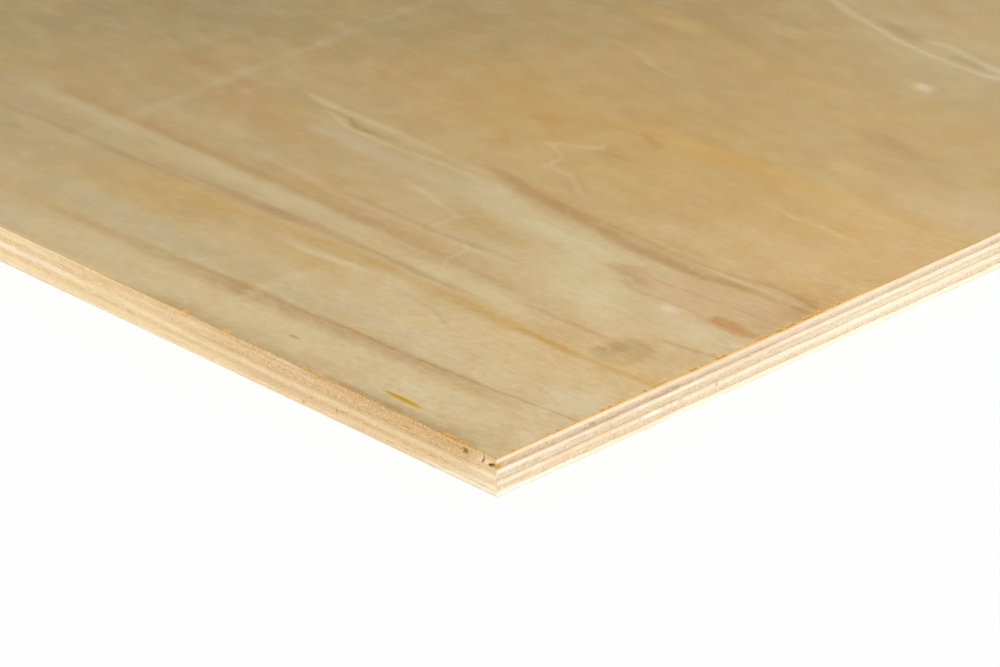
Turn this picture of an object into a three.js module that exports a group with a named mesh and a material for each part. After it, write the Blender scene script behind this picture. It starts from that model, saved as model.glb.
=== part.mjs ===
// Plywood sheet: nine veneers glued one on another, the grain of each at right angles to its
// neighbours', pressed flat and sawn to size.
//
// X runs along the sheet with the face grain, Y runs across it and Z up through its thickness.
// The origin is the middle of the underside. All lengths are in millimetres.

import * as THREE from 'three';

// ---- The sheet, as sawn ------------------------------------------------------------------------

const SHEET_LENGTH = 2440;
const SHEET_WIDTH = 1220;

// ---- Veneer thicknesses after pressing ---------------------------------------------------------

const FACE_THICKNESS = 0.5;
const OUTER_CROSSBAND_THICKNESS = 2.05;
const LONG_CORE_THICKNESS = 2.6;
const INNER_CROSSBAND_THICKNESS = 2.35;
const CENTRE_CORE_THICKNESS = 3.0;

// ---- Core gaps ---------------------------------------------------------------------------------
// An inner ply is laid up from strips of veneer, edge to edge. Two strips that are not quite
// straight part towards one edge of the sheet, in a thin wedge that is open at the sawn edge.

const CORE_GAP_WIDTH = 1.2;
const CORE_GAP_REACH = 300;
const FINE_GAP_WIDTH = 0.5;
const FINE_GAP_REACH = 220;

// ---- Bites out of a sawn edge ------------------------------------------------------------------
// Each form is the corners between the two ends of the bite's mouth, as shares of the mouth's
// width and of the bite's depth.

const WEDGE = [[0.5, 1]];
const PIT = [[0.08, 0.55], [0.3, 0.92], [0.6, 1], [0.88, 0.7]];
const SPLINTER = [[0.18, 1], [0.45, 0.6], [0.7, 0.8]];
const SLIVER = [[0.06, 0.8], [0.35, 1], [0.9, 0.6]];

// A bite is placed along its side from a corner of the sheet: from the front right corner on the
// front and right sides, and from the corner diagonally opposite on the back and left sides.
function coreGap(side, at) {
  return { side, at, width: CORE_GAP_WIDTH, depth: CORE_GAP_REACH, form: WEDGE };
}

function fineGap(side, at) {
  return { side, at, width: FINE_GAP_WIDTH, depth: FINE_GAP_REACH, form: WEDGE };
}

// Small voids in the front edge, where the saw met a knot at the corner and opened the grain.
const KNOT_HOLE = { side: 'front', at: 3.4, width: 2.2, depth: 1.8, form: PIT };
const KNOT_CRACK = { side: 'front', at: 8.2, width: 0.9, depth: 2.4, form: WEDGE };
const EDGE_PIT = { side: 'front', at: 19.2, width: 2.4, depth: 1.5, form: PIT };

// The face splinters where the saw leaves it across the grain, along the right side. A splinter
// breaks away along the grain, so its bite runs into the sheet.
const SPLINTER_DEPTH = 1.1;
const splinters = [
  { at: 10.2, width: 2.4 },
  { at: 30.8, width: 1.6 },
  { at: 35.2, width: 1.8 },
  { at: 61.0, width: 3.6 },
  { at: 65.4, width: 2.6 },
  { at: 70.4, width: 2.8 },
  { at: 85.8, width: 2.2 },
  { at: 95.0, width: 5.0 },
  { at: 114.6, width: 4.6 },
  { at: 130.6, width: 7.6 },
  { at: 155.4, width: 3.0 },
  { at: 166.2, width: 3.4 },
  { at: 173.0, width: 5.6 },
  { at: 184.4, width: 5.2 },
  { at: 192.0, width: 2.8 },
  { at: 203.6, width: 2.6 },
  { at: 215.4, width: 2.0 },
].map(({ at, width }) => ({ side: 'right', at, width, depth: SPLINTER_DEPTH, form: SPLINTER }));

// Along the front side the grain runs with the saw, and one long sliver has lifted near the corner.
const CORNER_SLIVER = { side: 'front', at: 24.5, width: 17, depth: 0.7, form: SLIVER };

// ---- Finishes ----------------------------------------------------------------------------------

const faceWood = new THREE.MeshStandardMaterial({ color: 0xd0b489, roughness: 0.6, metalness: 0 });
const longWood = new THREE.MeshStandardMaterial({ color: 0xe0c294, roughness: 0.8, metalness: 0 });
const crossWood = new THREE.MeshStandardMaterial({ color: 0xefdcb6, roughness: 0.8, metalness: 0 });

// ---- The lay-up, from the underside up ---------------------------------------------------------
// The lay-up is balanced: the thicknesses above the centre core are those below it, in reverse.
// Joints in a crossband open on the front or back side, and those in a long ply on the right or left.

const layUp = [
  {
    name: 'back_veneer',
    thickness: FACE_THICKNESS,
    wood: faceWood,
    bites: [],
  },
  {
    name: 'crossband_8',
    thickness: OUTER_CROSSBAND_THICKNESS,
    wood: crossWood,
    bites: [coreGap('front', 1290), coreGap('back', 560)],
  },
  {
    name: 'long_core_7',
    thickness: LONG_CORE_THICKNESS,
    wood: longWood,
    bites: [fineGap('right', 67.5), coreGap('left', 610)],
  },
  {
    name: 'crossband_6',
    thickness: INNER_CROSSBAND_THICKNESS,
    wood: crossWood,
    bites: [coreGap('front', 640), coreGap('back', 790)],
  },
  {
    name: 'centre_core_5',
    thickness: CENTRE_CORE_THICKNESS,
    wood: longWood,
    bites: [fineGap('right', 66), coreGap('left', 520)],
  },
  {
    name: 'crossband_4',
    thickness: INNER_CROSSBAND_THICKNESS,
    wood: crossWood,
    bites: [coreGap('front', 1010), coreGap('back', 420)],
  },
  {
    name: 'long_core_3',
    thickness: LONG_CORE_THICKNESS,
    wood: longWood,
    bites: [KNOT_HOLE, KNOT_CRACK, EDGE_PIT, coreGap('right', 810), coreGap('left', 790)],
  },
  {
    name: 'crossband_2',
    thickness: OUTER_CROSSBAND_THICKNESS,
    wood: crossWood,
    bites: [KNOT_CRACK, coreGap('front', 365), coreGap('back', 860)],
  },
  {
    name: 'face_veneer',
    thickness: FACE_THICKNESS,
    wood: faceWood,
    bites: [CORNER_SLIVER, ...splinters],
  },
];

// ---- Shapes ------------------------------------------------------------------------------------

// The sheet's four sides, walked anticlockwise from above. fromEnd is set where places on the side
// are measured from the corner that the walk ends at.
const HALF_LENGTH = SHEET_LENGTH / 2;
const HALF_WIDTH = SHEET_WIDTH / 2;
const sides = [
  {
    name: 'front',
    start: new THREE.Vector2(-HALF_LENGTH, -HALF_WIDTH),
    ahead: new THREE.Vector2(1, 0),
    length: SHEET_LENGTH,
    fromEnd: true,
  },
  {
    name: 'right',
    start: new THREE.Vector2(HALF_LENGTH, -HALF_WIDTH),
    ahead: new THREE.Vector2(0, 1),
    length: SHEET_WIDTH,
    fromEnd: false,
  },
  {
    name: 'back',
    start: new THREE.Vector2(HALF_LENGTH, HALF_WIDTH),
    ahead: new THREE.Vector2(-1, 0),
    length: SHEET_LENGTH,
    fromEnd: true,
  },
  {
    name: 'left',
    start: new THREE.Vector2(-HALF_LENGTH, HALF_WIDTH),
    ahead: new THREE.Vector2(0, -1),
    length: SHEET_WIDTH,
    fromEnd: false,
  },
];

// The corners of one bite, in the order that the walk along its side meets them.
function biteCorners(side, bite) {
  const middle = side.fromEnd ? side.length - bite.at : bite.at;
  const mouthStart = middle - bite.width / 2;
  const inward = new THREE.Vector2(-side.ahead.y, side.ahead.x);
  const shares = [[0, 0], ...bite.form, [1, 0]];
  return shares.map(([widthShare, depthShare]) =>
    side.start
      .clone()
      .addScaledVector(side.ahead, mouthStart + widthShare * bite.width)
      .addScaledVector(inward, depthShare * bite.depth)
  );
}

// A ply's outline from above: the sawn rectangle, less its bites.
function plyOutline(bites) {
  const corners = [];
  for (const side of sides) {
    const own = bites.filter((bite) => bite.side === side.name);
    own.sort((a, b) => (side.fromEnd ? b.at - a.at : a.at - b.at));
    corners.push(side.start.clone());
    for (const bite of own) {
      corners.push(...biteCorners(side, bite));
    }
  }
  return new THREE.Shape(corners);
}

// A ply as a solid between two heights. Its faces take those heights as they are, so that the top
// of one ply and the underside of the next lie in the same plane.
function plyGeometry(bites, underside, top) {
  const geometry = new THREE.ExtrudeGeometry(plyOutline(bites), { depth: 1, bevelEnabled: false });
  const position = geometry.getAttribute('position');
  for (let i = 0; i < position.count; i += 1) {
    position.setZ(i, position.getZ(i) > 0.5 ? top : underside);
  }
  geometry.computeVertexNormals();
  return geometry;
}

// ---- The sheet ---------------------------------------------------------------------------------

const plywoodSheet = new THREE.Group();
let height = 0;
for (const { name, thickness, wood, bites } of layUp) {
  const ply = new THREE.Mesh(plyGeometry(bites, height, height + thickness), wood);
  ply.name = name;
  plywoodSheet.add(ply);
  height += thickness;
}

export default plywoodSheet;
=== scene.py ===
import math
from itertools import chain

import bpy
import numpy as np
from mathutils import Matrix, Vector


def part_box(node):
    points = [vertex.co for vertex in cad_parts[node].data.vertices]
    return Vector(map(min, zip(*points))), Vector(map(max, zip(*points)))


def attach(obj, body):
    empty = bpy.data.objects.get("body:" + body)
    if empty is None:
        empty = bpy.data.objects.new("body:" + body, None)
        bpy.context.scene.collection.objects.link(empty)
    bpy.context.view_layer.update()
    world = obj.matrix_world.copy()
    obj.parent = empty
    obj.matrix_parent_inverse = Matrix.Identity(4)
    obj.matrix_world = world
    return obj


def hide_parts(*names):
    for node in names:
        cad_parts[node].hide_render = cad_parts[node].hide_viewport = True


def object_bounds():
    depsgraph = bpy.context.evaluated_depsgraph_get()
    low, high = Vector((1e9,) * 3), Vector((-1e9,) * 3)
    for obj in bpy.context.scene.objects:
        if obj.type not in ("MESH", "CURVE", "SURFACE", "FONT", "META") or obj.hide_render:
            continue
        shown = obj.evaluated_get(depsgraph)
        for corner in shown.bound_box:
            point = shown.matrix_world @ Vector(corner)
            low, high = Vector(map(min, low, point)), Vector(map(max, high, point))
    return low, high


# A sheet of nine-ply plywood lying on a studio floor, seen over its front right corner. Each ply is
# rebuilt with the relief of its sawn edge, and the face carries the figure of its veneer.
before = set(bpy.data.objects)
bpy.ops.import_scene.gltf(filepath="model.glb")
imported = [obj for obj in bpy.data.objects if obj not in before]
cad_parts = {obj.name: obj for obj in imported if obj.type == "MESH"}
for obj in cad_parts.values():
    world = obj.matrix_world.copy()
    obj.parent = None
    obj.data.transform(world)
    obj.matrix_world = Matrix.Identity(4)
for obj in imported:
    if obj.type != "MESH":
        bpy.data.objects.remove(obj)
cad_low, cad_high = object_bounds()


# ---- Camera --------------------------------------------------------------------------------------
# A long lens looks down over the front right corner, nearly along the corner's diagonal. It is
# placed so that the top of the corner falls on a chosen point of the picture.

IMAGE_WIDTH = 1000
IMAGE_HEIGHT = 667
SENSOR_WIDTH_MM = 36
LENS_MM = 200
VIEW_AZIMUTH = math.radians(46.25)
VIEW_ELEVATION = math.radians(26.07)
VIEW_ROLL = math.radians(-0.546)
CORNER_DISTANCE = 2.2426
CORNER_PIXEL = (496.7, 458.5)

corner = Vector((cad_high.x, cad_low.y, cad_high.z))
view_back = Vector((
    math.sin(VIEW_AZIMUTH) * math.cos(VIEW_ELEVATION),
    -math.cos(VIEW_AZIMUTH) * math.cos(VIEW_ELEVATION),
    math.sin(VIEW_ELEVATION),
))
level_right = Vector((math.cos(VIEW_AZIMUTH), math.sin(VIEW_AZIMUTH), 0))
level_up = view_back.cross(level_right)
view_right = math.cos(VIEW_ROLL) * level_right + math.sin(VIEW_ROLL) * level_up
view_up = math.cos(VIEW_ROLL) * level_up - math.sin(VIEW_ROLL) * level_right

pixel_size = CORNER_DISTANCE * SENSOR_WIDTH_MM / LENS_MM / IMAGE_WIDTH
right_of_middle = (CORNER_PIXEL[0] - IMAGE_WIDTH / 2) * pixel_size
above_middle = (IMAGE_HEIGHT / 2 - CORNER_PIXEL[1]) * pixel_size

camera = bpy.data.objects.new("camera", bpy.data.cameras.new("camera"))
camera.data.lens = LENS_MM
camera.data.sensor_width = SENSOR_WIDTH_MM
camera_place = Matrix((view_right, view_up, view_back)).transposed().to_4x4()
camera_place.translation = (
    corner + CORNER_DISTANCE * view_back - right_of_middle * view_right - above_middle * view_up
)
camera.matrix_world = camera_place
bpy.context.scene.collection.objects.link(camera)
bpy.context.scene.camera = camera


# ---- Core plies ----------------------------------------------------------------------------------
# Seven plies of rotary-cut hardwood, 2 to 3 mm thick, pressed in resin with the grain turned a
# quarter from ply to ply. Only their sawn edges show: smooth and streaked where the saw ran with
# the grain, open and speckled where it cut across it.

MM = 0.001
FINE_STEP = 0.42 * MM           # spacing of the vertices along an edge near the corner
FINE_REACH = 330 * MM
STEP_GROWTH = 1.05
COARSE_STEP = 4.5 * MM
CORNER_MITRE = 10 * MM          # the stretch of a side in which a ring closes up to its corner
INNER_RING = 3 * MM
CORE_GAP = (1.2, 300)           # width and reach of the joint between two strips, in mm
FINE_GAP = (0.2, 220)
GLUE_FILM = 0.01 * MM           # half the thickness of the resin between two plies
GLUE_BAND = 0.16 * MM           # how far the resin has soaked into the edge of a ply
GLUE_WANDER = 0.16              # mm that a glue line strays from straight along the edge
GLUE_SET_BACK = 0.06            # mm that the saw cuts deeper along a glue line
WALL_ROWS = 7                   # rows of vertices up the edge of a ply, between its glue bands
LATTICE = (1024, 64)            # points along and up, after which the lumps of an edge repeat
HIDDEN_OFFSET = 5000            # mm, keeps the pattern of the back and left sides apart


def side(name, start, ahead, side_length, grows_from):
    """One side of the sheet, walked anticlockwise from above."""
    return {"name": name, "start": np.array(start), "ahead": np.array(ahead, float),
            "inward": np.array((-ahead[1], ahead[0]), float), "length": side_length,
            "grows_from": grows_from}


length = cad_high.x - cad_low.x
width = cad_high.y - cad_low.y
sides = [
    side("front", (cad_low.x, cad_low.y), (1, 0), length, "end"),
    side("right", (cad_high.x, cad_low.y), (0, 1), width, "start"),
    side("back", (cad_high.x, cad_high.y), (-1, 0), length, None),
    side("left", (cad_low.x, cad_high.y), (0, -1), width, None),
]


def stations(side_length, grows_from):
    """Distances along a side at which its edge has vertices, close together near the corner."""
    if grows_from is None:
        return np.linspace(0, side_length, round(side_length / COARSE_STEP) + 1)[:-1]
    steps = [0.0]
    step = FINE_STEP
    while steps[-1] < side_length:
        if steps[-1] > FINE_REACH:
            step = min(step * STEP_GROWTH, COARSE_STEP)
        steps.append(steps[-1] + step)
    distances = np.array(steps) * side_length / steps[-1]
    if grows_from == "end":
        distances = side_length - distances[::-1]
    return distances[:-1]


def perimeter(gaps):
    """The columns of vertices round a ply, walked anticlockwise, with the reach of each joint that
    opens at the edge. A joint is a column of its own, far inside, between the ends of its mouth."""
    parts = {"side": [], "at": [], "place": [], "ahead": [], "inward": [], "mitre": [], "gap": []}
    for edge in sides:
        from_end = edge["name"] in ("front", "back")
        along = stations(edge["length"], edge["grows_from"])
        reach = np.zeros(len(along))
        for gap_side, at, (gap_width, gap_reach) in gaps:
            if gap_side == edge["name"]:
                middle = edge["length"] - at * MM if from_end else at * MM
                half = gap_width / 2 * MM
                kept = abs(along - middle) > half
                along = np.append(along[kept], (middle - half, middle, middle + half))
                reach = np.append(reach[kept], (0, gap_reach, 0))
                order = np.argsort(along)
                along, reach = along[order], reach[order]
        count = len(along)
        at = (edge["length"] - along if from_end else along) / MM
        hidden = HIDDEN_OFFSET if edge["grows_from"] is None else 0
        near_start = np.clip(1 - along / CORNER_MITRE, 0, 1)
        near_end = np.clip(1 - (edge["length"] - along) / CORNER_MITRE, 0, 1)
        parts["side"].append([edge["name"]] * count)
        parts["at"].append(at + hidden)
        parts["place"].append(edge["start"] + along[:, None] * edge["ahead"])
        parts["ahead"].append(np.tile(edge["ahead"], (count, 1)))
        parts["inward"].append(np.tile(edge["inward"], (count, 1)))
        parts["mitre"].append(near_start - near_end)
        parts["gap"].append(reach)
    return {name: np.concatenate(part) for name, part in parts.items()}


def ring(columns, inset_mm, height):
    """One loop of vertices round a ply, set in from its sides. Its joints reach far inside."""
    inset = np.where(columns["gap"] > 0, np.maximum(columns["gap"], inset_mm), inset_mm) * MM
    mitre = columns["mitre"] * inset_mm * MM
    flat = columns["place"] + inset[:, None] * columns["inward"]
    flat = flat + mitre[:, None] * columns["ahead"]
    return np.column_stack((flat, np.broadcast_to(height, len(flat))))


def smooth_step(value, start, end):
    """From 0 where the value is at its start to 1 at its end, with soft ends."""
    share = np.clip((value - start) / (end - start), 0, 1)
    return share * share * (3 - 2 * share)


def lumps(along, up, lump_length, lump_height, seed):
    """Smooth noise between -1 and 1 over an edge, in lumps of that size. All in millimetres."""
    lattice = np.random.default_rng(seed).uniform(-1, 1, LATTICE)
    along, up = along / lump_length, up / lump_height
    left, below = np.floor(along).astype(int), np.floor(up).astype(int)
    rightwards, upwards = smooth_step(along - left, 0, 1), smooth_step(up - below, 0, 1)
    left, right = left % LATTICE[0], (left + 1) % LATTICE[0]
    below, above = below % LATTICE[1], (below + 1) % LATTICE[1]
    low = lattice[left, below] * (1 - rightwards) + lattice[right, below] * rightwards
    high = lattice[left, above] * (1 - rightwards) + lattice[right, above] * rightwards
    return low * (1 - upwards) + high * upwards


# What the knot at the corner, the saw and the press left on each side: the distance from the corner,
# the depth below the face, the length and height of the mark, how amber and how dark it is, from 0
# to 1, and how deep it is. All lengths are in millimetres. Where marks meet, the strongest shows.
# In the deep marks the darkness is partly painted shade inside the pit.
edge_marks = {
    "front": [
        # Tones that run along the plies.
        (100, 0.6, 290, 1.8, 0, 0.15, 0),
        (120, 1, 300, 1.2, 0.05, 0.06, 0),
        (110, 3, 220, 1, 0.05, 0.12, 0),
        (90, 8.15, 330, 1.7, 0.03, 0.28, 0),
        (150, 10.75, 330, 1.2, 0.08, 0, 0),
        (120, 13.5, 360, 1.5, 0.03, 0.22, 0),
        (240, 14.1, 140, 2.8, 0.26, 0.03, 0),
        # Single marks.
        (1.2, 4, 4.4, 2.1, 1, 0.04, 0.1),
        (1.6, 0.9, 3.4, 0.6, 0.6, 0.1, 0.2),
        (2, 3.6, 1.6, 0.6, 1, 0.6, 0.6),
        (3, 4.6, 2.8, 1.1, 1, 0.85, 1.2),
        (4, 6.3, 14, 2.6, 0.25, 0.08, 0),
        (4.2, 5.2, 1.6, 0.9, 1, 0.85, 1.2),
        (5, 2.4, 13, 4.4, 0.3, 0.1, 0),
        (5.4, 1.6, 0.5, 2.4, 0.3, 0.4, 0.3),
        (6.2, 6.3, 0.6, 2.2, 0.2, 0.3, 0.1),
        (7.8, 2.8, 0.9, 3.4, 0.3, 0.65, 0.8),
        (8.6, 4.6, 0.9, 1.3, 0.4, 0.85, 1.8),
        (9.2, 15.6, 6, 0.5, 0.4, 0.3, 0.1),
        (9.3, 5.4, 0.6, 1.1, 0.3, 0.6, 0.8),
        (10.6, 2.2, 0.5, 3, 0.2, 0.35, 0.3),
        (11, 7, 0.8, 1.5, 0.2, 0.3, 0.2),
        (12.4, 3, 0.6, 3, 0.2, 0.25, 0.2),
        (13.7, 5.2, 0.5, 2, 0.2, 0.4, 0.3),
        (16.9, 6, 0.5, 2.2, 0.2, 0.3, 0.2),
        (19, 3.7, 3.2, 2.6, 0.6, 0.6, 0.8),
        (19.6, 4.6, 1.8, 1.1, 0.3, 0.55, 0.5),
        (24, 0.4, 20, 1.4, 0.85, 0.15, 0),
        (24, 3.2, 10, 2.2, 0.3, 0.12, 0.1),
        (26, 3.9, 40, 2.8, 0.24, 0.14, 0.2),
        (30.5, 13, 2.6, 0.5, 0.4, 0.4, 0.1),
        (31.2, 15.7, 4.6, 0.5, 0.4, 0.35, 0.1),
        (31.8, 6.9, 1.4, 1.4, 0.3, 0.2, 0.2),
        (35.4, 7.1, 1.8, 1.2, 0.3, 0.3, 0.2),
        (38.5, 13.1, 7.5, 0.5, 0.4, 0.4, 0.1),
        (46, 2.2, 7, 0.8, 0.4, 0.2, 0.3),
        (53, 5.6, 3, 1.2, 0.1, 0.3, 0.3),
        (53.8, 15.6, 3, 0.6, 0.4, 0.4, 0.1),
        (55, 13, 6, 0.4, 0.3, 0.2, 0.1),
        (63.5, 15.8, 5.6, 0.5, 0.4, 0.35, 0.1),
        (65, 0.4, 14, 1.4, 0, 0.35, 0),
        (66.5, 6.9, 4, 0.9, 0.2, 0.4, 0.3),
        (75, 14.1, 40, 2.4, 0.12, 0.02, 0),
        (78, 12.8, 8, 0.5, 0.3, 0.25, 0.1),
        (83.5, 6.8, 1.8, 1.2, 0.3, 0.2, 0.2),
        (92.6, 12.6, 1.4, 1.4, 0.4, 0.3, 0.2),
        (96.2, 13, 1.2, 1.2, 0.3, 0.6, 0.2),
        (98.8, 12.8, 1, 1.4, 0.2, 0.25, 0.1),
        (101.8, 7, 1.4, 1.2, 0.3, 0.2, 0.2),
        (106, 1.6, 6, 1.8, 0.35, 0.2, 0.2),
        (117, 16.2, 2.2, 1.4, 0.6, 0.2, 0.1),
        (131.5, 13.6, 2.4, 0.5, 0.1, 0.4, 0.1),
        (138.5, 5.4, 4.2, 0.5, 0.2, 0.3, 0.2),
        (168, 1.6, 12, 2, 0.35, 0.1, 0.2),
        (191, 1.3, 3, 1.2, 0.5, 0.1, 0.1),
    ],
    "right": [
        # Tones that run along the plies.
        (40, 0.7, 130, 2, 0.25, 0, 0),
        (130, 0.8, 380, 1.7, 0.36, 0, 0),
        (138, 0.8, 190, 1.9, 0.5, 0, 0),
        (250, 3.9, 130, 1.1, 0, 0.06, 0),
        (60, 5.55, 220, 1.1, 0, 0.42, 0),
        (92, 9, 110, 3.2, 0.2, 0.03, 0),
        (60, 10.9, 270, 1.1, 0, 0.3, 0),
        (80, 14.1, 110, 2.8, 0.14, 0.05, 0),
        (110, 15.85, 400, 1.2, 0.34, 0.07, 0),
        # Single marks.
        (0.8, 4.1, 3.8, 2.3, 1, 0, 0.1),
        (5, 3.9, 14, 2.6, 0.3, 0, 0),
        (5, 14.1, 14, 2.6, 0.25, 0.05, 0),
        (14.5, 14, 9, 1.4, 0.35, 0.12, 0.1),
        (28.6, 3.4, 1.4, 1.8, 0.4, 0.25, 0.1),
        (46.5, 7.7, 14, 0.4, 0.1, 0.5, 0.1),
        (50.6, 4.7, 2.4, 0.8, 0.3, 0.35, 0.2),
        (54.6, 4, 4.4, 1.6, 0.5, 0.3, 0.2),
        (56.6, 4.5, 1, 0.9, 0.5, 0.4, 0.2),
        (60, 11.4, 44, 2.6, 0.26, 0.06, 0.1),
        (65, 11.4, 0.8, 1.4, 0.3, 0.35, 0.1),
        (65.2, 12.5, 0.9, 0.9, 0.3, 0.4, 0.2),
        (66.3, 10.2, 0.9, 1.2, 0.2, 0.3, 0.2),
        (66.6, 11, 2.4, 1.4, 0.2, 0.15, 0.1),
        (67.5, 14.6, 0.6, 1.8, 0.2, 0.2, 0.1),
        (67.8, 9.2, 0.9, 1, 0.3, 0.15, 0.1),
        (82.6, 11.8, 2.4, 1.8, 0.3, 0.25, 0.2),
        (86.6, 4.3, 4.6, 1.3, 0.35, 0.15, 0.1),
        (96.6, 11.8, 0.8, 2, 0.2, 0.4, 0.2),
        (100.8, 11.8, 1.2, 2, 0.3, 0.2, 0.1),
        (101.6, 4.1, 6, 1.6, 0.3, 0.2, 0.1),
        (106.4, 11.8, 3, 2, 0.35, 0.15, 0.1),
        (110, 1.5, 60, 2, 0.06, 0, 0),
        (112.6, 11.8, 1, 2, 0.3, 0.2, 0.1),
        (113, 0.4, 14, 1.3, 0.8, 0.08, 0),
        (114, 1.3, 9, 2.2, 0.3, 0.04, 0.1),
        (117, 1.3, 0.9, 2.4, 0.4, 0.25, 0.2),
        (128.2, 11.8, 2, 2.2, 0.4, 0.3, 0.2),
        (132, 0.4, 12, 1.3, 0.8, 0, 0),
        (133, 14.4, 3.4, 1.2, 0.4, 0.1, 0.1),
        (138, 6.3, 26, 2.4, 0.3, 0, 0),
        (139.9, 11.8, 0.8, 2.2, 0.1, 0.4, 0.2),
        (178, 0.4, 46, 1.3, 0.7, 0, 0),
        (190, 3.9, 24, 2.6, 0.15, 0.06, 0),
        (270, 11.7, 60, 2.6, 0.1, 0, 0),
        (285, 6.3, 60, 2.6, 0.12, 0, 0),
    ],
}
# Places where a side is paler: the distance from the corner, the depth below the face, the length and
# height of the place, and how pale it is, from 0 to 1. Low on the right side, where that side is
# brightest, the paleness is painted highlight.
pale_and_highlit_places = {
    "front": [
        (6, 9, 26, 3.2, 0.3),
        (10, 14.1, 36, 2.8, 0.4),
        (12, 11.7, 30, 2.6, 0.3),
        (16, 16.5, 60, 2.2, 0.5),
        (30, 14.9, 60, 1, 0.2),
        (115, 3.9, 80, 2.8, 0.22),
        (128, 1.5, 26, 2.2, 0.3),
        (130, 10.75, 330, 1.2, 0.35),
        (160, 4.7, 300, 1, 0.2),
        (285, 0.4, 100, 1.4, 0.35),
        (295, 1.5, 110, 2.4, 0.3),
        (310, 9, 100, 3.4, 0.4),
    ],
    "right": [
        (8, 6.3, 12, 2.4, 0.3),
        (8, 16.5, 40, 2.4, 0.95),
        (50, 16.5, 80, 2.2, 0.4),
        (70, 7.65, 240, 1.1, 0.4),
        (84, 6.3, 10, 2.4, 0.5),
        (90, 11.7, 11, 2.2, 0.7),
        (99, 11.7, 3, 2, 0.5),
        (100, 17.4, 500, 1, 0.5),
        (103.5, 11.7, 3, 2, 0.6),
        (178, 6.3, 44, 2.6, 0.3),
        (190, 2.95, 380, 1.3, 0.44),
        (200, 13.05, 240, 1.3, 0.42),
        (205, 11.7, 130, 2.6, 0.4),
        (215, 3.9, 230, 2.6, 0.28),
        (225, 14.1, 150, 2.8, 0.2),
        (235, 9, 190, 3.4, 0.3),
        (250, 5, 140, 0.9, 0.25),
    ],
}
MARK_FADE = 0.7         # a mark's strength at its rim is e to the power of minus this
MARK_SOFTNESS = 1.5     # the lower, the softer its rim
MARK_RAGGED = 0.35      # how unevenly it fades, in lumps of that length and height in mm
MARK_LUMPS = (0.9, 0.5)


def mark_shares(columns, depth_mm, seed, marks):
    """For each mark, how strong it is at each vertex at that depth below the face, and its values."""
    run = columns["at"]
    ragged = 1 + MARK_RAGGED * lumps(run, np.full(len(run), depth_mm), *MARK_LUMPS, seed)
    for side_name, rows in marks.items():
        on_side = columns["side"] == side_name
        for at, depth, mark_length, mark_height, *values in rows:
            along = (run - at) / (mark_length / 2)
            up = (depth_mm - depth) / (mark_height / 2)
            strength = np.exp(-MARK_FADE * (along**2 + up**2) ** MARK_SOFTNESS * ragged)
            yield strength * on_side, values


def edge_marking(columns, depth_mm, seed):
    """How amber, dark, deep and pale each vertex is at that depth below the face."""
    amber, dark, bite, pale = (np.zeros(len(columns["at"])) for _ in range(4))
    for share, (how_amber, how_dark, how_deep) in mark_shares(columns, depth_mm, seed, edge_marks):
        amber = np.maximum(amber, share * how_amber)
        dark = np.maximum(dark, share * how_dark)
        bite = np.maximum(bite, share * how_deep)
    for share, (how_pale,) in mark_shares(columns, depth_mm, seed, pale_and_highlit_places):
        pale = np.maximum(pale, share * how_pale)
    return amber, dark, bite, pale


def mesh_object(name, vertices, edges, faces, values):
    """An object of a new mesh. values has a number for each vertex, kept under a name."""
    mesh = bpy.data.meshes.new(name)
    mesh.from_pydata(vertices, edges, faces)
    for key, numbers in values.items():
        layer = mesh.attributes.new(key, "FLOAT", "POINT")
        layer.data.foreach_set("value", numbers.astype(np.float32))
    new_object = bpy.data.objects.new(name, mesh)
    bpy.context.scene.collection.objects.link(new_object)
    return new_object


def ply_object(name, loops, values):
    """A closed ply through loops of vertices that run round it, from its underside to its top.
    values has, for each name, a list of the numbers of each loop's vertices."""
    count = len(loops[0])
    here = np.arange(count)
    after = np.roll(here, -1)
    faces = [here[::-1].tolist()]
    for k in range(len(loops) - 1):
        low, high = k * count, (k + 1) * count
        faces += np.stack([low + here, low + after, high + after, high + here], 1).tolist()
    faces.append((here + (len(loops) - 1) * count).tolist())
    return mesh_object(name, np.concatenate(loops).tolist(), [], faces, {
        key: np.concatenate(numbers) for key, numbers in values.items()
    })


def new_material(name):
    """A material with an empty node tree, and that tree."""
    material = bpy.data.materials.new(name)
    material.use_nodes = True
    material.node_tree.nodes.clear()
    return material, material.node_tree


def add_node(tree, kind, inputs=None, **settings):
    """A node of that kind, with its settings made and each input given a value or a link."""
    node = tree.nodes.new(kind)
    for name, value in settings.items():
        setattr(node, name, value)
    for key, source in (inputs or {}).items():
        if isinstance(source, bpy.types.NodeSocket):
            tree.links.new(source, node.inputs[key])
        else:
            node.inputs[key].default_value = source
    return node


def colour(hex_code):
    """The linear colour of an sRGB hex code such as #d0b489."""
    channels = [int(hex_code[i:i + 2], 16) / 255 for i in (1, 3, 5)]
    linear = [c / 12.92 if c <= 0.04045 else ((c + 0.055) / 1.055) ** 2.4 for c in channels]
    return (*linear, 1)


def mapped(tree, place, sizes_mm, detail, distortion=0.0):
    """Soft noise laid on a place in millimetres, with features of that length, breadth and height."""
    stretched = add_node(tree, "ShaderNodeVectorMath", {
        0: place, 1: [1 / size for size in sizes_mm],
    }, operation="MULTIPLY").outputs[0]
    return add_node(tree, "ShaderNodeTexNoise", {
        "Vector": stretched, "Scale": 1.0, "Detail": detail, "Roughness": 0.6,
        "Distortion": distortion,
    })


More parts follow.
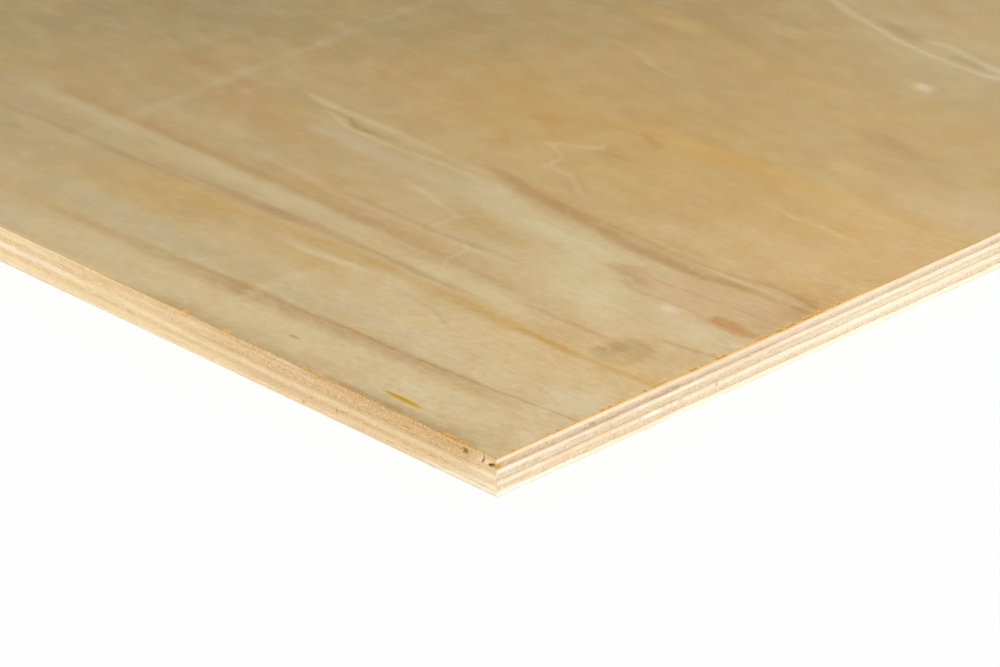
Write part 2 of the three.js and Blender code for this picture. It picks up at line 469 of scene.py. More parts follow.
def stained(tree, wood, layers):
    """The wood's colour under layers of stain. Each layer has a pattern, the values at which it
    starts and is full, its strength, its colour, and what its strength is multiplied by."""
    for pattern, start, full, strength, stain, weight in layers:
        # A smooth step keeps within its limits by itself, so it isn't clamped.
        share = add_node(tree, "ShaderNodeMapRange", {
            "Value": pattern, "From Min": start, "From Max": full, "To Max": strength,
        }, interpolation_type="SMOOTHSTEP", clamp=False).outputs["Result"]
        if weight is not None:
            share = add_node(tree, "ShaderNodeMath", {
                0: share, 1: weight,
            }, operation="MULTIPLY").outputs[0]
        wood = add_node(tree, "ShaderNodeMix", {
            "Factor": share, "A": wood, "B": colour(stain),
        }, data_type="RGBA").outputs[2]
    return wood


def core_veneer_wood(name, grain_turn, with_grain, across_grain, fleck, gleam):
    """Bare rotary-cut poplar, sawn and unsanded: dull and pale, with soft streaks along the grain,
    and across the grain a speckle of open pores and crushed fibre ends. The resin shows as a thin
    broken brown line at each joint, with painted shade added below the plies that stand out."""
    material, tree = new_material(name)
    place = add_node(tree, "ShaderNodeTexCoord").outputs["Object"]
    # Turned so that its X runs along the grain, in millimetres.
    grain = add_node(tree, "ShaderNodeMapping", {
        "Vector": place, "Rotation": (0, 0, grain_turn), "Scale": (1000, 1000, 1000),
    }).outputs["Vector"]
    end_grain, speckled, worn, glue_and_shade, amber, dark, pale = (
        add_node(tree, "ShaderNodeAttribute", attribute_name=key).outputs["Fac"]
        for key in ("end_grain", "speckled", "worn", "glue_and_shade_line", "amber", "dark", "pale")
    )

    # Broad changes of tone, growth streaks that are specks when seen end on, mottles where the
    # fibre lies a little differently, and pores and crushed fibre ends. Pores are a tenth of a
    # millimetre across and are drawn about ten times as coarse, so that they still show from afar.
    tone = mapped(tree, grain, (40, 40, 6), 2).outputs["Fac"]
    streaks = mapped(tree, grain, (25, 0.8, 0.8), 3).outputs["Fac"]
    mottles = mapped(tree, grain, (5, 5, 1.5), 4, 0.6).outputs["Fac"]
    pores = mapped(tree, grain, (1.3, 1.3, 1.0), 2).outputs["Fac"]
    wood = add_node(tree, "ShaderNodeMix", {
        "Factor": end_grain, "A": colour(with_grain), "B": colour(across_grain),
    }, data_type="RGBA").outputs[2]
    wood = stained(tree, wood, [
        (tone, 0.45, 0.75, 0.45, fleck, None),
        (streaks, 0.5, 0.75, 0.35, fleck, None),
        (mottles, 0.52, 0.72, 0.35, fleck, None),
        (mottles, 0.48, 0.3, 0.28, gleam, None),
        (pores, 0.52, 0.7, 0.34, "#a5794a", speckled),
        (pores, 0.46, 0.3, 0.34, gleam, speckled),
        (mottles, -0.3, 0.6, 0.75, "#c69a5e", worn),
        (pores, 0.55, 0.7, 0.55, "#84581e", worn),
        (pores, 0.45, 0.3, 0.5, "#f2dcb0", worn),
        # The resin line, darkened partly as painted shade below the plies that stand out.
        (mottles, 0.25, 0.6, 1.0, "#8a6740", glue_and_shade),
        # Paler places; low on the right side this is painted highlight.
        (pale, 0.0, 1.0, 1.0, "#fff7e8", None),
        (amber, 0.0, 1.0, 1.0, "#c69842", None),
        # Dark wood, and painted shade inside the deep marks.
        (dark, 0.0, 1.0, 1.0, "#54340f", None),
    ])
    relief = add_node(tree, "ShaderNodeBump", {
        "Height": pores, "Strength": 0.4, "Distance": 0.2 * MM,
    }).outputs["Normal"]
    surface = add_node(tree, "ShaderNodeBsdfPrincipled", {
        "Base Color": wood, "Roughness": 0.85, "Specular IOR Level": 0.2, "Normal": relief,
    })
    add_node(tree, "ShaderNodeOutputMaterial", {"Surface": surface.outputs["BSDF"]})
    return material


# The turns that lay a pattern's X along the sheet and across it.
ALONG_X = 0.0
ALONG_Y = math.radians(-90)

# From the underside up, each ply has the direction of its grain, its colours with the grain, across
# it, in its flecks and where it gleams, how far the saw left it back in mm, how worn the saw left it
# near the corner, and the joints in it.
core_plies = [
    # The lowest ply's colours are partly painted highlight, paler for the bright light near the floor.
    ("crossband_8", ALONG_Y, ("#fdf4e0", "#efdcb6", "#dfc294", "#fdf3dc"), 0.02, 0.3,
     [("front", 1290, CORE_GAP), ("back", 560, CORE_GAP)]),
    ("long_core_7", ALONG_X, ("#f6e0b6", "#e2cdad", "#d3b38c", "#fbebcc"), 0.08, 0.45,
     [("right", 67.5, FINE_GAP), ("left", 610, CORE_GAP)]),
    ("crossband_6", ALONG_Y, ("#fae3c4", "#e4cb9a", "#d4ae7c", "#fdefd4"), 0.04, 0.45,
     [("front", 640, CORE_GAP), ("back", 790, CORE_GAP)]),
    ("centre_core_5", ALONG_X, ("#f3dcae", "#decba8", "#cdb088", "#f6e4c2"), 0.08, 0.45,
     [("right", 66, FINE_GAP), ("left", 520, CORE_GAP)]),
    ("crossband_4", ALONG_Y, ("#fce6cb", "#e5cd9e", "#d0a976", "#fbeed6"), 0.04, 0.65,
     [("front", 1010, CORE_GAP), ("back", 420, CORE_GAP)]),
    ("long_core_3", ALONG_X, ("#f6dcb0", "#d2b995", "#bb9668", "#ecdab8"), 0.12, 0.95,
     [("right", 810, CORE_GAP), ("left", 790, CORE_GAP)]),
    ("crossband_2", ALONG_Y, ("#fce2c6", "#e6ca96", "#d2a977", "#fbead2"), 0.02, 0.75,
     [("front", 365, CORE_GAP), ("back", 860, CORE_GAP)]),
]
# How strongly the resin line shows below each core ply and, last, above the uppermost. Where it is
# strong it is partly painted shade below a ply that stands out. The saw rubbed much of it away on
# the front edge, and with it some of the roughness and speckle of the end grain.
GLUE_AND_SHADE_SHOWS = (0.1, 0.5, 0.35, 0.45, 0.75, 0.5, 0.9, 0.5)
RUBBED_GLUE_AND_SHADE_SHOWS = (0.1, 0.2, 0.3, 0.3, 0.15, 0.15, 0.1, 0.1)
RUBBED_RELIEF = 0.7     # the share that it left
RUBBED_SPECKLE = 0.4
TORN_PLIES = ("crossband_4", "long_core_3", "crossband_2")
# The wear of a side sets in over the first of these stretches from the corner, in millimetres, and
# over the second it eases by a share.
WORN_FROM, WORN_TO = (4, 20), (100, 230)
WEAR_EASES = 0.75
TORN_RELIEF = 1.2       # how much rougher the wear has left the torn plies


def wear(columns, side_name):
    """From 0 to 1, how much the saw rubbed a side near the corner."""
    here = smooth_step(columns["at"], *WORN_FROM)
    eased = 1 - WEAR_EASES * smooth_step(columns["at"], *WORN_TO)
    return here * eased * (columns["side"] == side_name)


def strayed(columns, level, height):
    """The height of a glue line round the sheet, which strays a little from its level."""
    blank = np.zeros(len(columns["at"]))
    long_bends = lumps(columns["at"], blank, 17, 1, 200 + level)
    short_bends = lumps(columns["at"], blank, 4, 1, 300 + level)
    return height + GLUE_WANDER * MM * (long_bends + 0.5 * short_bends) / 1.5


for level, (node, turn, tones, set_back, worn, gaps) in enumerate(core_plies):
    columns = perimeter(gaps)
    low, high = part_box(node)
    bottom, top = low.z + GLUE_FILM, high.z - GLUE_FILM
    edge_bottom = strayed(columns, level, bottom)
    edge_top = strayed(columns, level + 1, top)
    band = GLUE_BAND / (top - bottom)
    shares = np.concatenate(([0], np.linspace(band, 1 - band, WALL_ROWS), [1]))
    long_sides = np.isin(columns["side"], ("front", "back"))
    end_grain = (long_sides if turn == ALONG_Y else ~long_sides).astype(float)
    torn = 1 + TORN_RELIEF * wear(columns, "front") * (node in TORN_PLIES)
    worn_here = worn * wear(columns, "front")
    rubbed = columns["side"] == "front"
    speckled = end_grain * np.where(rubbed, RUBBED_SPECKLE, 1)
    blank = np.zeros(len(end_grain))

    glued_side = {
        "end_grain": end_grain, "speckled": blank, "worn": blank, "glue_and_shade_line": blank,
        "amber": blank, "dark": blank, "pale": blank,
    }
    loops = [ring(columns, INNER_RING / MM, bottom)]
    values = [glued_side]
    for share in shares:
        height = edge_bottom + (edge_top - edge_bottom) * share
        run, up = columns["at"], height / MM
        # How far the wood lies back, in mm, in lumps of a length and height: where the grain is cut
        # across, fibre ends, saw marks and a few torn pits, and where it isn't, shallow streaks.
        open_grain = 0.07 * (1 + lumps(run, up, 1.2, 0.8, 10 * level))
        open_grain += 0.06 * (1 + lumps(run, up, 4.0, 1.7, 10 * level + 1))
        open_grain += 0.45 * smooth_step(lumps(run, up, 1.9, 1.2, 10 * level + 2), 0.6, 1)
        smooth_grain = 0.03 * (1 + lumps(run, up, 20, 0.8, 10 * level + 3))
        smooth_grain += 0.03 * (1 + lumps(run, up, 3, 1.4, 10 * level + 4))
        open_grain = open_grain * np.where(rubbed, RUBBED_RELIEF, 1)
        relief = np.where(end_grain > 0, open_grain, smooth_grain) * torn
        depth = (cad_high.z - (bottom + (top - bottom) * share)) / MM
        amber, dark, bite, pale = edge_marking(columns, depth, 400 + level)
        at_glue = 1.0 if share in (0, 1) else 0.0
        joint = level if share < 0.5 else level + 1
        shows = at_glue * np.where(rubbed, RUBBED_GLUE_AND_SHADE_SHOWS[joint], GLUE_AND_SHADE_SHOWS[joint])
        loops.append(ring(columns, set_back + relief + bite + GLUE_SET_BACK * at_glue, height))
        values.append({
            "end_grain": end_grain, "speckled": speckled, "worn": worn_here, "glue_and_shade_line": shows,
            "amber": amber, "dark": dark, "pale": pale,
        })
    loops.append(ring(columns, INNER_RING / MM, top))
    values.append(glued_side)

    ply = ply_object(f"{node}_sawn", loops, {
        key: [of_loop[key] for of_loop in values] for key in glued_side
    })
    ply.data.materials.append(core_veneer_wood(
        f"sawn poplar core veneer {node[-1]}", turn, *tones,
    ))
    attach(ply, "root")
    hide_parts(node)


# ---- Back veneer ---------------------------------------------------------------------------------
# Half a millimetre of the same poplar, grain lengthwise, glued under the core. It is the plainer
# side of the sheet: sanded, even in tone, and with a few growth lines.

# The rings of vertices on a veneer's outer side: how far each is set in, in mm, and how far it lies
# inside the sheet's surface, because sanding has eased the arris.
SANDED_RINGS = ((0.06, 0.07), (0.3, 0.03), (0.8, 0.015), (1.6, 0.006), (3, 0), (7, 0))
VENEER_WALL = (0.0, 0.3, 0.6, 0.85)     # shares of the veneer's thickness
BROKEN_BAND = (0.2, 3)                  # mm from the edge over which a broken arris levels out
RING_LINES = 14.0                       # growth lines from the lowest of the pattern to the highest


def rotary_figure(tree, place, pale, deep, golden):
    """The figure of a poplar veneer peeled from the log, on a place in millimetres with its X along
    the grain: broad tones, long streaks, and growth lines where the knife ran through a ring."""
    broad = mapped(tree, place, (420, 70, 100), 2).outputs["Fac"]
    gold = mapped(tree, place, (260, 34, 100), 2).outputs["Fac"]
    streaks = mapped(tree, place, (190, 6, 100), 2).outputs["Fac"]
    rings = mapped(tree, place, (380, 90, 100), 1).outputs["Fac"]
    ring_count = add_node(tree, "ShaderNodeMath", {0: rings, 1: RING_LINES}, operation="MULTIPLY")
    ring_share = add_node(tree, "ShaderNodeMath", {
        0: ring_count.outputs[0],
    }, operation="FRACT").outputs[0]
    return stained(tree, colour(pale), [
        (broad, 0.35, 0.65, 1.0, deep, None),
        (gold, 0.5, 0.72, 0.6, golden, None),
        (streaks, 0.58, 0.75, 0.4, "#a07a4c", None),
        (ring_share, 0.3, 1.0, 0.22, "#dcc79a", gold),
    ])


def veneer_rings(columns, inner_height, outer_height, recess, drop):
    """The loops of a veneer from its glued side to its outer side. recess and drop, in mm, say how
    far its arris is broken back from the edge and down from the surface."""
    into = 1 if inner_height > outer_height else -1
    loops = [ring(columns, INNER_RING / MM, inner_height)]
    for share in VENEER_WALL:
        height = inner_height + (outer_height - inner_height) * share
        loops.append(ring(columns, recess, height))
    for inset, inside in SANDED_RINGS:
        fade = 1 - smooth_step(inset, *BROKEN_BAND)
        sunk = (inside + drop * fade) * MM
        loops.append(ring(columns, recess * fade + inset, outer_height + into * sunk))
    return loops


columns = perimeter([])
low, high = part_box("back_veneer")
run = columns["at"]
blank = np.zeros(len(run))
# The saw left the arris ragged by a tenth of a millimetre, and lower by a third of that.
recess = 0.04 + 0.05 * (1 + lumps(run, blank, 2.4, 1, 501))
loops = veneer_rings(columns, high.z - GLUE_FILM, low.z, recess, 0.03 * (1 + recess))
loops.reverse()
on_edge = [blank + (1 <= k <= len(VENEER_WALL)) for k in range(len(loops))][::-1]
back_veneer = ply_object("back_veneer_sanded", loops, {"sawn_edge": on_edge})

# Bare poplar veneer, knife-cut and sanded: smooth, dull and pale tan, with a faint satin sheen.
sanded_back, tree = new_material("sanded poplar back veneer")
place = add_node(tree, "ShaderNodeTexCoord").outputs["Object"]
grain = add_node(tree, "ShaderNodeMapping", {
    "Vector": place, "Location": (3000, 900, 0), "Scale": (1000, 1000, 1000),
}).outputs["Vector"]
sawn_edge = add_node(tree, "ShaderNodeAttribute", attribute_name="sawn_edge").outputs["Fac"]
fibre = mapped(tree, grain, (22, 0.7, 0.7), 3).outputs["Fac"]
mottles = mapped(tree, grain, (5, 5, 1.5), 4, 0.6).outputs["Fac"]
wood = stained(tree, rotary_figure(tree, grain, "#d8c39a", "#c6a97a", "#c9a268"), [
    (fibre, 0.5, 0.8, 0.25, "#a98a5c", None),
    (fibre, 0.45, 0.2, 0.3, "#e8d8b4", None),
    (sawn_edge, 0.0, 1.0, 1.0, "#f3e2bf", None),
    (mottles, 0.5, 0.7, 0.5, "#d9bb8a", sawn_edge),
])
relief = add_node(tree, "ShaderNodeBump", {
    "Height": fibre, "Strength": 0.25, "Distance": 0.05 * MM,
}).outputs["Normal"]
surface = add_node(tree, "ShaderNodeBsdfPrincipled", {
    "Base Color": wood, "Roughness": 0.6, "Specular IOR Level": 0.3, "Normal": relief,
})
add_node(tree, "ShaderNodeOutputMaterial", {"Surface": surface.outputs["BSDF"]})
back_veneer.data.materials.append(sanded_back)
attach(back_veneer, "root")
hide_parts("back_veneer")


# ---- Face veneer ---------------------------------------------------------------------------------
# The better half-millimetre sheet of poplar, grain lengthwise, sanded to a faint satin. Mineral
# streaks, golden heartwood and pale sapwood run through it, and the saw has splintered its right
# arris, where it cut across the grain.

# Along the right arris: the distance from the corner and the width of each splintered stretch, and
# how amber the torn wood is, from 0 to 1. Lengths in millimetres.
splinters = [
    (10.2, 2.4, 0.7), (30.8, 1.6, 0.5), (35.2, 1.8, 0.6), (61.0, 3.6, 0.9), (65.4, 2.6, 0.7),
    (70.4, 2.8, 0.9), (85.8, 2.2, 0.6), (95.0, 9.0, 0.4), (114.6, 4.6, 0.7), (130.6, 7.6, 1.0),
    (142.0, 1.4, 0.5), (155.4, 3.0, 0.8), (166.2, 3.8, 1.0), (173.0, 6.0, 0.9), (184.4, 6.4, 1.0),
    (191.5, 4.0, 1.0), (203.6, 2.6, 0.6), (215.4, 2.0, 0.5),
]
SPLINTER_DEPTH = 1.2            # mm that the deepest splinters have broken back
SPLINTER_EDGE = (0.3, 0.6)      # shares of its width from its middle, between which it ends
TORN_REACH = (0.1, 3.4)         # mm from the edge over which the stain of the torn wood fades
# Between the splinters the saw left the right arris rough, by the first of these shares, and past
# the stretch ROUGHER by both, until it ends over the stretch ROUGH_ENDS. Both are in millimetres from
# the corner. The rough wood is stained too, and its sawn side more than its arris.
ROUGH_SHARES = (0.3, 0.4)
ROUGHER, ROUGH_ENDS = (100, 150), (196, 240)
ROUGH_DEPTH = 0.5               # mm that it is broken back where it is roughest
SIDE_STAIN = 1.6
# Along the front arris: the middle and length of each lifted sliver, how far it has broken back, and
# how amber it is.
slivers = [
    (9.0, 4.0, 0.2, 0.3), (24.5, 17.0, 0.6, 0.5), (62.0, 5.0, 0.4, 0.2), (70.0, 6.0, 0.5, 0.2),
    (82.0, 7.0, 0.5, 0.2), (91.0, 5.0, 0.7, 0.2), (98.0, 6.0, 0.7, 0.25), (107.0, 3.6, 0.4, 0.5),
    (118.0, 8.0, 0.4, 0.3), (128.0, 6.0, 0.4, 0.2), (165.5, 5.0, 0.5, 0.8), (192.0, 4.0, 0.5, 0.8),
    (245.0, 4.0, 0.5, 0.6),
]
SLIVER_EDGE = (0.3, 0.55)       # as for the splinters
RUBBED_DEPTH = 0.3              # mm that the saw broke the front arris back where it rubbed the side
ARRIS_DROP = 0.3                # how far down a break goes, as a share of how far back

columns = perimeter([])
low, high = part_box("face_veneer")
run = columns["at"]
blank = np.zeros(len(run))
# How far the arris is broken back, in mm, and how amber the wood is there.
recess = 0.03 + 0.04 * (1 + lumps(run, blank, 1.4, 1, 601))
ragged = 1 + 0.6 * lumps(run, blank, 3.4, 1, 602) + 0.6 * lumps(run, blank, 1.3, 1, 607)
recess = recess + RUBBED_DEPTH * wear(columns, "front") * np.maximum(ragged, 0)
rough = ROUGH_SHARES[0] + ROUGH_SHARES[1] * smooth_step(run, *ROUGHER)
rough = rough * (1 - smooth_step(run, *ROUGH_ENDS))
rough = rough * (0.8 + 0.4 * lumps(run, blank, 3, 1, 603)) * (columns["side"] == "right")
amber = rough * smooth_step(lumps(run, blank, 2, 1, 606), 0, 0.8)
recess = recess + ROUGH_DEPTH * amber
for middle, stretch, how_amber in splinters:
    share = 1 - smooth_step(abs(run - middle) / stretch, *SPLINTER_EDGE)
    share = share * (columns["side"] == "right") * (0.7 + 0.3 * lumps(run, blank, 0.8, 1, 604))
    recess = np.maximum(recess, share * SPLINTER_DEPTH)
    amber = np.maximum(amber, share * how_amber)
for middle, stretch, broken, how_amber in slivers:
    share = 1 - smooth_step(abs(run - middle) / stretch, *SLIVER_EDGE)
    share = share * (columns["side"] == "front") * (0.7 + 0.3 * lumps(run, blank, 1.6, 1, 605))
    recess = np.maximum(recess, share * broken)
    amber = np.maximum(amber, share * how_amber)
loops = veneer_rings(columns, low.z + GLUE_FILM, high.z, recess, ARRIS_DROP * recess)
first_sanded = 1 + len(VENEER_WALL)
on_edge = [blank + (1 <= k <= first_sanded) for k in range(len(loops))]
torn_amber = [blank]
for k in range(1, len(loops)):
    if k <= first_sanded:
        torn_amber.append(np.maximum(amber, SIDE_STAIN * rough))
    else:
        inset = SANDED_RINGS[k - first_sanded][0]
        torn_amber.append(amber * (1 - smooth_step(inset, *TORN_REACH)))
face_veneer = ply_object("face_veneer_sanded", loops, {"sawn_edge": on_edge, "amber": torn_amber})

# Bare poplar veneer, knife-cut and sanded: smooth, with a faint satin sheen, cream to golden brown
# in long soft-edged streaks. Patterns are placed in millimetres from the corner, X inwards along the
# front edge and Y inwards along the right edge.
sanded_face, tree = new_material("sanded poplar face veneer")
place = add_node(tree, "ShaderNodeTexCoord").outputs["Object"]
plan = add_node(tree, "ShaderNodeMapping", {
    "Vector": place, "Location": (cad_high.x / MM, -cad_low.y / MM, 0), "Scale": (-1000, 1000, 1000),
}).outputs["Vector"]
# Lines of fibre, specks and flecks. A fibre is a fiftieth of a millimetre across, so the lines are
# drawn as broad as the bundles that still show from afar.
fibre = mapped(tree, plan, (14, 0.8, 100), 3).outputs["Fac"]
specks = mapped(tree, plan, (5, 3, 100), 2).outputs["Fac"]
flecks = mapped(tree, plan, (11, 6, 100), 1).outputs["Fac"]

# The figure wanders by some millimetres, and its edges fray along the grain.
wander, fraying = (
    add_node(tree, "ShaderNodeVectorMath", {
        0: mapped(tree, plan, sizes, detail).outputs["Color"], 1: (0.5, 0.5, 0.5),
    }, operation="SUBTRACT").outputs[0]
    for sizes, detail in (((36, 12, 100), 1), ((55, 1.7, 100), 2))
)


def shifted(tree, place, wander_mm, fraying_mm):
    """The place, moved by up to half of those distances along and across the grain."""
    wandering = add_node(tree, "ShaderNodeVectorMath", {
        0: wander, 1: (*wander_mm, 0), 2: place,
    }, operation="MULTIPLY_ADD").outputs[0]
    return add_node(tree, "ShaderNodeVectorMath", {
        0: fraying, 1: (*fraying_mm, 0), 2: wandering,
    }, operation="MULTIPLY_ADD").outputs[0]


patch_place = shifted(tree, plan, (29, 12), (12, 4))
streak_place = shifted(tree, plan, (6, 2.2), (4, 3))
mottles = mapped(tree, plan, (34, 20, 100), 1).outputs["Fac"]
blush = mapped(tree, plan, (23, 15, 100), 1).outputs["Fac"]

# The face is painted palest at the corner and darker and browner away from it, a painted falloff of
# the light, and its fine marks are strongest there. Past the stretch where figured marks are placed
# it changes to a plain rotary figure, in the darker tone where the painted falloff ends. All these
# are in millimetres from the corner, with the distance along the sheet added to most of that across it.
LIGHT_FALLOFF_FROM, LIGHT_FALLOFF_TO = 60.0, 600.0
MARKED_TO = 400.0
FINE_MARKS_LEFT = 0.25  # the share of the strength of the fine marks that is left beyond
PLAIN_FROM, PLAIN_TO = 460.0, 760.0
from_corner = add_node(tree, "ShaderNodeVectorMath", {
    0: patch_place, 1: (1, 0.9, 0),
}, operation="DOT_PRODUCT").outputs["Value"]
near_corner_share = add_node(tree, "ShaderNodeMapRange", {
    "Value": from_corner, "From Min": LIGHT_FALLOFF_FROM, "From Max": MARKED_TO,
    "To Min": 1.0, "To Max": FINE_MARKS_LEFT,
}).outputs["Result"]
away = add_node(tree, "ShaderNodeMapRange", {
    "Value": from_corner, "From Min": PLAIN_FROM, "From Max": PLAIN_TO,
}, interpolation_type="SMOOTHSTEP", clamp=False).outputs["Result"]
rotary = rotary_figure(tree, plan, "#b0945f", "#9f8050", "#a88246")
# Painted shade: the colour darkens with distance from the corner, a painted falloff of the light.
near_corner = stained(tree, colour("#d1b888"), [
    (from_corner, LIGHT_FALLOFF_FROM, LIGHT_FALLOFF_TO, 1.0, "#a48a58", None),
])
ground = add_node(tree, "ShaderNodeMix", {
    "Factor": away, "A": near_corner, "B": rotary,
}, data_type="RGBA").outputs[2]

PATCH_EDGE = (1.4, 0.1)         # the shares of its half breadth at which a mark fades out and is full
# Broad tones in the wood: the middle, the half length along the grain, the half breadth, the turn in
# degrees, the strength and the colour. The dark olive tones far from the corner are partly painted
# shade, which carries the painted falloff of the light further.
tones = [
    (150, 340, 300, 160, 0, 0.36, "#c09a50"),
    (160, 460, 130, 60, 0, 0.45, "#cbb488"),
    (120, 245, 190, 62, 0, 0.50, "#c49a54"),
    (10, 250, 80, 70, 0, 0.35, "#dcaa54"),
    (30, 108, 60, 34, 0, 0.25, "#cc9e58"),
    (290, 12, 80, 16, 0, 0.40, "#cdb98e"),
    (500, 150, 70, 70, 0, 0.35, "#8c8054"),
    (375, 285, 95, 75, 0, 0.33, "#8c7444"),
    (470, 215, 90, 50, 0, 0.25, "#8c7c50"),
    (105, 360, 90, 46, 0, 0.22, "#cfb078"),
    (348, 328, 260, 60, -45, 0.38, "#86764a"),
    (440, 220, 50, 30, 0, 0.28, "#7c6a40"),
    (405, 90, 60, 40, 0, 0.30, "#a89878"),
    (115, 415, 64, 40, 0, 0.40, "#b8a67e"),
]
# Patches of tone, given in the same way.
patches = [
    (6, 182, 16, 30, 0, 0.42, "#b07c3c"),
    (24, 188, 46, 14, 0, 0.25, "#b88448"),
    (14, 93, 26, 9, 0, 0.36, "#e0b064"),
    (215, 80, 40, 14, 0, 0.25, "#b88c44"),
    (110, 3, 130, 7, 0, 0.30, "#a08048"),
    (420, 112, 40, 14, 0, 0.30, "#b8a074"),
    (230, 136, 44, 12, 0, 0.34, "#b0863a"),
    (282, 150, 22, 8, 0, 0.25, "#b48a3e"),
    (335, 139, 28, 12, 0, 0.25, "#c8b284"),
    (130, 52, 70, 9, 0, 0.25, "#c4ac94"),
    (100, 20, 110, 12, 0, 0.15, "#ccc090"),
    (40, 78, 70, 16, 0, 0.30, "#dcb878"),
    (280, 71, 66, 14, 0, 0.50, "#b48c42"),
    (190, 72, 24, 9, 0, 0.50, "#ba9448"),
    (190, 92, 28, 7, 0, 0.28, "#b08a3a"),
    (165, 150, 27, 10, 5, 0.50, "#b48c44"),
    (330, 165, 45, 18, 10, 0.30, "#b0823c"),
    (300, 110, 120, 7, 0, 0.38, "#cdbd97"),
    (118, 105, 30, 6, 0, 0.26, "#dacba4"),
    (72, 128, 26, 15, 30, 0.30, "#dccfa4"),
    (94, 146, 32, 15, 40, 0.32, "#dccfa4"),
    (122, 160, 34, 13, 25, 0.30, "#dacda2"),
    (25, 137, 34, 12, 5, 0.30, "#e2ceac"),
    (150, 169, 62, 10, 3, 0.36, "#d8cca0"),
    (188, 181, 16, 6, 0, 0.35, "#dccca8"),
    (215, 171, 50, 11, 0, 0.26, "#c4b591"),
    (272, 172, 38, 8, 8, 0.34, "#c6b49a"),
    (312, 178, 18, 8, 0, 0.35, "#b08a40"),
    (35, 162, 50, 12, 0, 0.45, "#c89c6c"),
    (32, 175, 42, 7, 0, 0.35, "#cfa478"),
    (82, 160, 16, 5, 25, 0.45, "#a97c4c"),
    (72, 18, 11, 8, 0, 0.30, "#e6dab4"),
    (45, 148, 9, 6, 0, 0.34, "#ecdcc4"),
    (3, 21, 7, 6, 0, 0.35, "#ecd8b8"),
    (3, 144, 7, 5, 0, 0.35, "#ecd8ba"),
    (166, 86, 12, 5, 0, 0.30, "#b48c4c"),
    (186, 131, 13, 5, 0, 0.28, "#a5804c"),
    (61, 99, 14, 6, 0, 0.28, "#b88c48"),
    (83, 88, 10, 5, 0, 0.35, "#e0b874"),
    (283, 241, 12, 6, 0, 0.32, "#a07c40"),
    (94, 36, 12, 8, 0, 0.32, "#a8865a"),
    (184, 34, 18, 5, 0, 0.35, "#a07c48"),
    (264, 37, 30, 5, 0, 0.28, "#a8946a"),
    (139, 55, 16, 5, 0, 0.28, "#b49a70"),
    (10, 58, 16, 11, 0, 0.30, "#ddd2b2"),
    (190, 80, 28, 2.6, 0, 0.35, "#e0d2a8"),
    (270, 45, 90, 11, 0, 0.35, "#b3a88a"),
    (190, 44, 120, 11, 0, 0.32, "#ac9264"),
    (225, 20, 28, 6, 0, 0.30, "#d6c394"),
    (283, 20, 26, 6, 0, 0.25, "#cdbc92"),
    (326, 8, 22, 12, 0, 0.28, "#aa9c84"),
    (96, 13, 22, 9, 0, 0.18, "#b89c68"),
    (24, 8, 22, 8, 0, 0.25, "#b08c54"),
    (70, 40, 34, 5, 0, 0.30, "#b08850"),
    (80, 91, 44, 7, 0, 0.30, "#d0a04c"),
    (20, 224, 9, 4, 0, 0.35, "#cf9440"),
    (20, 198, 30, 4, 0, 0.40, "#cd9844"),
    (52, 226, 50, 12, 5, 0.30, "#dcc098"),
    (30, 240, 40, 6, 0, 0.20, "#cba586"),
    (30, 211, 40, 6, 0, 0.20, "#d0a67c"),
    (97, 207, 26, 6, 0, 0.30, "#d4b98c"),
    (231, 222, 9, 6, 50, 0.40, "#b97f34"),
    (228, 252, 16, 6, 30, 0.45, "#b08030"),
    (165, 208, 14, 4, 20, 0.30, "#ae8a44"),
    (257, 228, 24, 9, 0, 0.25, "#b0883a"),
    (18, 204, 22, 6, 0, 0.25, "#d8a654"),
    (183, 224, 8, 8, 0, 0.25, "#b08848"),
    (180, 246, 12, 5, 25, 0.40, "#a07c40"),
    (245, 262, 60, 34, 0, 0.20, "#ae8434"),
    (140, 275, 90, 12, -4, 0.42, "#c49a44"),
    (46, 277, 54, 12, 0, 0.35, "#d8b880"),
    (174, 267, 9, 3, 40, 0.45, "#ab7a34"),
    (75, 288, 26, 6, 15, 0.30, "#d9c794"),
    (20, 310, 40, 20, 0, 0.35, "#d6c3a4"),
    (14, 258, 28, 24, 0, 0.30, "#dcb990"),
    (66, 328, 30, 16, 20, 0.22, "#a5844e"),
    (24, 331, 26, 9, 0, 0.25, "#cdb48a"),
    (80, 309, 30, 8, 0, 0.30, "#d6bb8c"),
    (145, 323, 24, 8, 0, 0.25, "#ccae7c"),
    (100, 341, 30, 6, 0, 0.35, "#9c7c3e"),
    (185, 285, 40, 8, 0, 0.25, "#a98050"),
    (235, 322, 16, 6, 25, 0.30, "#a08250"),
    (286, 342, 30, 12, 0, 0.25, "#a08040"),
    (52, 313, 22, 6, 0, 0.30, "#c49c5c"),
    (282, 280, 26, 10, 0, 0.32, "#a88438"),
    (192, 265, 12, 5, 0, 0.32, "#ab8036"),
    (347, 292, 10, 6, 0, 0.25, "#cba860"),
    (373, 294, 14, 6, 0, 0.30, "#a8864c"),
    (393, 283, 12, 6, 0, 0.30, "#96804c"),
    (265, 375, 34, 8, 0, 0.35, "#cba45c"),
    (217, 403, 14, 6, 0, 0.25, "#cdb88a"),
    (119, 436, 14, 8, 0, 0.36, "#d4c6a8"),
    (139, 447, 12, 6, 0, 0.30, "#aa9c78"),
    (206, 293, 26, 8, 0, 0.25, "#b08a40"),
    (330, 236, 16, 7, 45, 0.30, "#c4ac86"),
    (316, 235, 12, 4, 60, 0.35, "#ad8242"),
    (392, 157, 16, 5, 10, 0.30, "#a8804c"),
    (384, 183, 28, 10, 10, 0.50, "#9c7840"),
    (430, 170, 20, 8, 0, 0.30, "#b09868"),
    (335, 204, 24, 8, 0, 0.30, "#c0a878"),
    (395, 73, 8, 5, 0, 0.40, "#8c7c44"),
    (444, 226, 18, 6, 10, 0.42, "#8e7444"),
    (452, 185, 10, 5, 20, 0.25, "#94785a"),
    (190, 475, 16, 6, 15, 0.35, "#ab8440"),
    (185, 442, 16, 5, 5, 0.35, "#94805c"),
]
